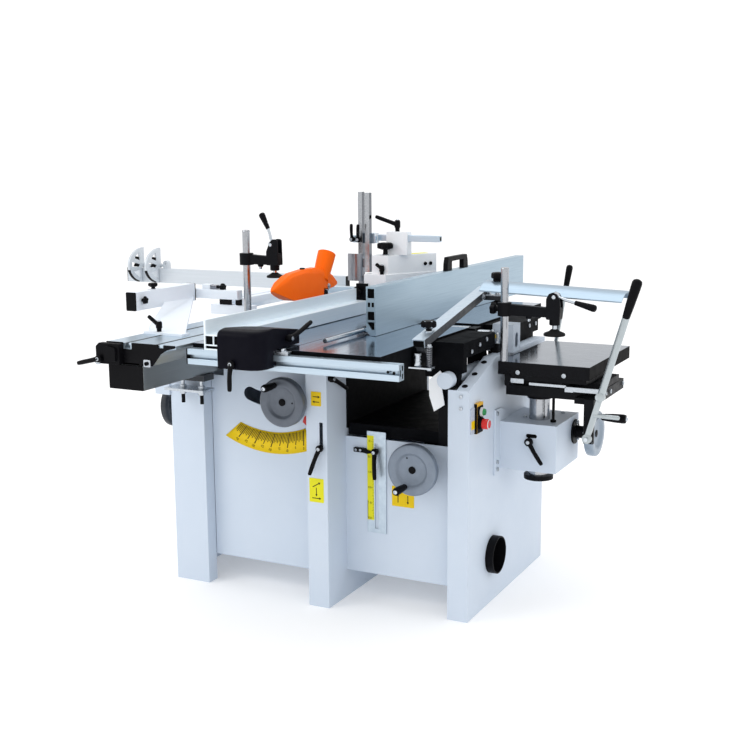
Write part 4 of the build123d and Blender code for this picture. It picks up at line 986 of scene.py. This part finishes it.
# ------------------------------------------------------------------ bridge guard
# guard arm's right faces and parts of its front and rear ends darker: painted shade
paint("guard_arm", SHADE_GREY, lambda x, y, z: x > -90, (1, 0, 0))
paint("guard_arm", SHADE_GREY, lambda x, y, z: (z < 870 and y < -60) or (x > -86.5 and y > 300))
m = Mesh()
m.lathe("z", -113, -120, [(808, 0), (808, 11), (811, 13.5), (822, 13.5), (823, 12.6), (840, 12.6), (841, 13.5), (844, 13.5), (846, 12), (846, 0)], 40)
m.prism("z", rrect(-134, -62, -138, -104, 4), 803, 808)
m.prism("x", rrect(-136, -112, 808, 856, 3), -140, -131)
m.make("guard_barrel", STEEL, "tables", 0.8, slot="bright_steel")
m = Mesh()
m.spring((-77, -116, 809), (-77, -116, 866), 8, 1.7, 9)
m.lathe("z", -77, -116, [(804, 0), (804, 5), (872, 5), (872, 0)], 20)
m.make("guard_spring", CHROME_AND_REFLECTION, "tables", slot="bright_steel")
m = Mesh()
m.hexbolt("z", -77, -116, 866, 1, 7, 6).hexbolt("z", -77, -116, 803, -1, 7, 5)
m.make("guard_nuts", ZINC, "tables", slot="bright_steel")
m = Mesh()
# dark mouth of the arm's channel: painted shade
m.slab((-107, -122, 874), (1, 0, 0), (0, -0.197, 0.980), (0, -0.980, -0.197), -17, 17, -10, 8.5, -0.4, 0.5)
m.make("guard_arm_mouth", SHADE_BLACK, "bridge_arm", slot="black_plastic")
m = Mesh()
m.lathe("z", -107, -50, [(893, 0), (893, 12), (902, 12), (903, 11), (903, 0)], 28)
m.lathe("z", -46, 350, [(966, 0), (966, 8), (1004, 8), (1005.2, 7), (1005.2, 0)], 24)
m.hexbolt("x", 372, 973, -87, 1, 7, 6).hexbolt("x", 326, 963, -87, 1, 7, 6)
m.prism("z", rrect(-92, -30, 336, 364, 4), 966, 969)
m.make("guard_fittings", ZINC, "bridge_arm", 0.6, slot="bright_steel")
m = Mesh()
m.turn((-107, -50, 902), (0, 0, 1), [(0, 0), (0, 9), (6, 9), (9, 15, .5), (12, 19.5, 1), (15, 21, 1), (26, 21, 1), (30, 18, .9), (31, 10, .3), (30, 0)], 70, 5)
m.turn((-46, 350, 952.5), (0, 0, -1), [(-6, 0), (-6, 9), (2, 9), (4, 15, .5), (7, 19, 1), (18, 19, 1), (21, 16, .8), (21, 0)], 60, 5)
m.make("guard_knobs", BLACKP, "bridge_arm", slot="black_plastic")
m = Mesh()
m.turn((-45.4, 350, 1012.5), (0.035, 0, 1), [(0, 0), (0, 14), (5, 13), (7, 15, .4), (9, 19.5, 1), (11, 21, 1), (23, 21, 1), (27, 18, .9), (29, 10, .3), (28.4, 0)], 70, 5)
m.make("guard_plate_knob", BLACKP, "bridge_plate", slot="black_plastic")
paint("guard_plate", BLACKP, lambda x, y, z: -75 < x < -15 and z > 1015.4)

# ------------------------------------------------------------------ planer hinge side
m = Mesh()
for y, z in ((93, 825), (157, 837), (214, 846), (612, 838), (676, 838)):
    m.capscrew("x", y, z, -30, 1, 7, 3.2)
m.make("casting_screws", ZINC, "tables", slot="bright_steel")
m = Mesh()
n = Vector((0, -0.303, 0.953))
for y in (27, 104, 180):
    m.turn((-24, y, 721 + y * 70 / 220), n, [(0, 0), (0, 9), (2.2, 9), (3, 8), (3, 0)], 28)
m.prism("z", rrect(-48, -22, 293, 316, 3), 791.2, 820)
m.make("flange_pads", BLACKP, "base", 0.8, slot="black_plastic")
m = Mesh()
for x, y, t in ((-41, 299, 866), (-29, 310, 858)):
    m.lathe("z", x, y, [(819, 0), (819, 4), (t - 8, 4), (t - 8, 0)], 18)
    m.hexbolt("z", x, y, 820, 1, 6.5, 5)
    m.hexbolt("z", x, y, t - 8, 1, 6, 6, False)
m.capscrew("y", -25, 703, 0, -1, 6, 4).capscrew("y", -25, 667, 0, -1, 6, 4)
m.make("side_bolts", ZINC, "base", slot="bright_steel")
Mesh().prism("x", rrect(297, 307, 836, 848, 2), -36, -34).make("side_mark", YELLOW, "base", slot="yellow_scale")
paint("planer_head", WHITE, lambda x, y, z: x > -51 and 316 < y < 384 and z > 790)
# flap in the brightened white: painted light
paint("planer_head", WHITE_LIT, lambda x, y, z: 26 < y < 29 and z > 640 and x > -141)
# black end plate filling the gap behind the flap: partly black casting, partly a dark sheet of painted shade
m = Mesh()
m.prism("y", rounded([(-160, 748), (-112, 748), (-96, 772), (-96, 812), (-160, 812)], 3), 42, 46)
m.make("head_end_plate", THROAT_BLACK_AND_SHADE, "base", 0.8, slot="black_cast")
m = Mesh()
m.ratchet((-436, -62, 737), (1, 0, 0), (-418, 22, 692), 11, 18)
m.make("column_lever", BLACKP, "base", slot="black_plastic")
screw_end((-418, -62, 737), (1, 0, 0)).make("column_lever_screw", ZINC, "base", slot="bright_steel")

# ------------------------------------------------------------------ switch
m = Mesh()
m.prism("x", rrect(12, 40, 587, 666, 2), 0, 3)
m.make("switch_label", PALE_B, "base", 0.5, slot="white_paint")
Mesh().prism("x", rrect(14, 38, 601, 627, 1.5), 3, 3.6).make("switch_mark", YELLOW, "base", slot="yellow_scale")
paint("switch_plate", BLACKP, lambda x, y, z: y < 43)
m = Mesh()
m.prism("x", rrect(42.6, 89.4, 584.6, 667, 3), 9.8, 10.3, [list(reversed(circle(70, 648, 10.4, 32))), list(reversed(circle(68, 612, 11.4, 36)))])
m.lathe("x", 70, 648, [(10.2, 14.8), (10.2, 17), (12, 17), (12.6, 16.4), (12.6, 14.8), (10.2, 14.8)], 40)
m.lathe("x", 68, 612, [(10.2, 16.6), (10.2, 18.6), (18.4, 18.6), (19.2, 17.8), (19.2, 16.6), (10.2, 16.6)], 44)
m.make("switch_face", BLACKP, "base", slot="black_plastic")
Mesh().lathe("x", 70, 648, [(10.2, 10.5), (10.2, 14.6), (18.6, 14.2), (19.4, 13.4), (19.4, 10.5), (10.2, 10.5)], 40).make(
    "switch_collar", PALE_AND_HIGHLIGHT, "base", slot="white_paint")
Mesh().lathe("x", 70, 648, [(7, 0), (7, 9.4), (23.6, 9.8), (25.4, 8.8), (25.8, 0)], 40).make(
    "start_head", GREEN, "start", slot="green_button", rep=("start_button",))
# stop head with a pale ring at its rim: a painted highlight
Mesh().lathe("x", 68, 612, [(5, 0), (5, 8), (14.5, 8), (14.5, 15), (15.4, 16), (35, 15.6), (38, 14.6), (39.6, 12.4), (40, 9), (39.2, 0)], 44).make(
    "stop_head", RED, "stop", slot="red_button", rep=("stop_button",))
Mesh().lathe("x", 68, 612, [(37.6, 13.4), (37.9, 14.9), (38.7, 14.4), (39.5, 13.0), (39.6, 12.0), (38.4, 12.2), (37.6, 13.4)], 44).make(
    "stop_highlight_ring", PALE_AND_HIGHLIGHT, "stop", slot="white_paint")

# ------------------------------------------------------------------ mortiser
paint("mortiser_bracket", BLACKC, lambda x, y, z: x > 190.2)
paint("mortiser_bracket", ZINC, lambda x, y, z: y < 249.5 and x > 90 and 515 < z < 540)
paint("mortiser_column", BLACKC, lambda x, y, z: z > 650 or y < 262 or z < 400.5)
paint("mortiser_column", STEEL, lambda x, y, z: z < 386.2 or (y < 180 and z < 582 and x < 320 and abs(z - 574) < 7))
m = Mesh()
for y, z in ((219, 612), (224, 455), (225, 432), (488, 432), (488, 566)):
    m.capscrew("x", y, z, 6, 1, 7, 5)
m.capscrew("z", 56, 340, 582, 1, 7, 5).capscrew("z", 147, 449, 582, 1, 7, 5)
for y, z in ((447, 557), (452, 503)):
    m.hexbolt("x", y, z, 196, 1, 6, 5)
m.make("bracket_bolts", ZINC, "base", slot="bright_steel")
m = Mesh()
# dark ring round the stop rod and dark slot in the bracket: painted shade
m.lathe("z", 160, 308, [(582, 5), (582, 9), (588, 9), (589, 8), (589, 5), (582, 5)], 28)
m.prism("y", rrect(92, 127, 538, 550, 5.5), 249.3, 250.2)
m.make("bracket_slot", SHADE_BLACK, "base", slot="black_plastic")
m = Mesh()
m.lathe("z", 160, 308, [(578, 0), (578, 4.6), (673, 4.6), (673, 0)], 20)
m.make("height_stop_rod", BLACKP, "mort_column", slot="black_plastic")
m = Mesh()
m.capscrew("x", 482, 690, 330, 1, 7, 5).capscrew("x", 336, 690, 330, 1, 7, 5).capscrew("x", 290, 690, 330, 1, 5, 4)
m.make("saddle_bolts", ZINC, "mort_column", slot="bright_steel")
m = Mesh()
m.capscrew("y", 87, 756, 180, -1, 7, 5).capscrew("y", 232, 756, 180, -1, 7, 5)
m.prism("y", rrect(63, 105, 722, 736, 2), 181, 184)
m.make("apron_bolts", ZINC, "mort_table", 0.4, slot="bright_steel")
m = Mesh()
m.prism("y", rrect(124, 240, 720, 728, 2), 175, 179.4)
m.make("slide_strip", ZINC, "mort_slide", 0.5, slot="bright_steel")
m = Mesh()
m.prism("y", rounded([(44, 712), (61, 712), (61, 747), (44, 747)], [6, 2, 2, 2]), 178, 186)
m.make("table_end_block", BLACKC, "mort_table", 0.8, slot="black_cast")
paint("cross_slide", ZINC, lambda x, y, z: y < 181 and x > 235)
paint("cross_slide", STEEL, lambda x, y, z: y > 690 and x < 99)

# plunge and traverse levers
m = Mesh()
a, b = Vector((311, 165, 574)), Vector((349, 165, 706))
d = (b - a).normalized()
w = Vector((d.z, 0, -d.x))
pts = [a + w * 8.5 - d * 4, a + w * 8.5 + d * 120, a + w * 8 + d * 140, a - w * 8 + d * 140, a - w * 8.5 + d * 120, a - w * 8.5 - d * 4]
m.prism("y", rounded([(q.x, q.z) for q in pts], 5), 160.5, 169.5)
m.lathe("y", 311, 574, [(158.6, 0), (158.6, 13), (159.6, 14.4), (170.4, 14.4), (171.4, 13), (171.4, 0)], 36)
m.sweep([(347, 165, 699), (372, 165, 786), (430, 165, 988)], 11, 26, 0.8)
m.lathe("y", 348.4, 704, [(152.5, 0), (152.5, 8), (154, 13), (156, 14), (174, 14), (175.5, 13), (175.5, 0)], 36)
m.turn((330, 165, 647), (1, 0, -0.013), [(0, 0), (0, 6.6), (73, 6.6), (76, 5.4), (77.2, 3), (77.2, 0)], 22)
m.hexbolt("y", 311, 574, 158.8, -1, 8, 6)
m.make("plunge_bar", BAR, "plunge", 0.8, slot="bright_steel", rep=("plunge_lever",))
m = Mesh()
g0, g1 = Vector((416, 165, 940)), Vector((449, 165, 1055))
L = (g1 - g0).length
m.turn(g0, g1 - g0, [(0, 0), (0, 9.5), (3, 11), (L * .35, 13), (L * .75, 14.8), (L * .9, 15), (L * .96, 12.5), (L * .99, 6), (L, 0)], 36)
m.make("plunge_grip", BLACKP, "plunge", slot="black_plastic")
m = Mesh()
m.lathe("x", 700, 713, [(19.6, 0), (19.6, 13), (20.6, 14.2), (34, 14.2), (35.2, 13), (35.2, 0)], 36)
m.sweep([(27.5, 700, 713), (50, 700, 849), (72.4, 700, 985)], 7, 22)
m.make("traverse_bar", BAR, "traverse", slot="bright_steel", rep=("traverse_lever",))
m = Mesh()
g0, g1 = Vector((67.4, 700, 954)), Vector((81.4, 700, 1041))
L = (g1 - g0).length
m.turn(g0, g1 - g0, [(0, 0), (0, 8), (3, 9), (L * .35, 10), (L * .75, 11.2), (L * .9, 11.2), (L * .96, 9), (L * .99, 5), (L, 0)], 36)
m.make("traverse_grip", BLACKP, "traverse", slot="black_plastic")

# ------------------------------------------------------------------ stage
fl = bpy.data.meshes.new("floor")
fl.from_pydata([(-40, -40, 0), (40, -40, 0), (40, 40, 0), (-40, 40, 0)], [], [(0, 1, 2, 3)])
floor = bpy.data.objects.new("floor", fl)
scene.collection.objects.link(floor)
pale = finish_mat("floor_pale", (0.90, 0.90, 0.905), (0.89, 0.89, 0.895), 0.7, scale=0.3, var=0.3, bump=0.0, spec=0.05)
glow = pale.node_tree.nodes["Principled BSDF"]
glow.inputs["Emission Color"].default_value = (1, 1, 1, 1)
glow.inputs["Emission Strength"].default_value = 0.22
fl.materials.append(pale)

world = bpy.data.worlds.new("studio")
scene.world = world
world.use_nodes = True
wn = world.node_tree
bg = wn.nodes["Background"]
bg.inputs["Color"].default_value = (1, 1, 1, 1)
bg.inputs["Strength"].default_value = 0.98
bg2 = wn.nodes.new("ShaderNodeBackground")
bg2.inputs["Color"].default_value = (1, 1, 1, 1)
bg2.inputs["Strength"].default_value = 1.15
lp = wn.nodes.new("ShaderNodeLightPath")
mixs = wn.nodes.new("ShaderNodeMixShader")
wn.links.new(lp.outputs["Is Camera Ray"], mixs.inputs["Fac"])
wn.links.new(bg.outputs["Background"], mixs.inputs[1])
wn.links.new(bg2.outputs["Background"], mixs.inputs[2])
wn.links.new(mixs.outputs["Shader"], wn.nodes["World Output"].inputs["Surface"])


def area(name, loc, to, size, power, col=(1, 1, 1)):
    li = bpy.data.lights.new(name, "AREA")
    li.shape = "RECTANGLE"
    li.size, li.size_y = size
    li.energy = power
    li.color = col
    o = bpy.data.objects.new(name, li)
    scene.collection.objects.link(o)
    o.location = loc
    o.rotation_mode = "QUATERNION"
    o.rotation_quaternion = (Vector(to) - Vector(loc)).to_track_quat("-Z", "Y")
    return o


area("key", (-2.6, -3.2, 3.6), (0, 0, 0.5), (2.4, 2.0), 48)
area("top", (0.3, 0.6, 4.2), (0, 0, 0.6), (3.2, 2.6), 34)
area("side", (4.2, 0.4, 2.0), (0.2, 0, 0.6), (2.0, 2.2), 5, (0.94, 0.97, 1.0))

scene.view_settings.view_transform = "Standard"
scene.view_settings.look = "None"

# camera at the photograph's viewing angle
yaw, pitch, roll = (math.radians(a) for a in (26.8, 10.34, -0.39))
back = Vector((math.sin(yaw) * math.cos(pitch), -math.cos(yaw) * math.cos(pitch), math.sin(pitch)))
right = Vector((math.cos(yaw), math.sin(yaw), 0))
up = back.cross(right)
c, s = math.cos(roll), math.sin(roll)
r_, u_ = c * right + s * up, -s * right + c * up
FOCAL = 1158.2
ray = r_ * ((467.1 - 375) / FOCAL) - u_ * ((623.2 - 375) / FOCAL) - back
place = -ray.normalized() * 3630.0
cam = bpy.data.cameras.new("camera")
cam.sensor_width = 36
cam.lens = 36 * FOCAL / 750
cam.clip_end = 200
co = bpy.data.objects.new("camera", cam)
scene.collection.objects.link(co)
m = Matrix((r_, u_, back)).transposed().to_4x4()
m.translation = V(*place)
co.matrix_world = m
scene.camera = co
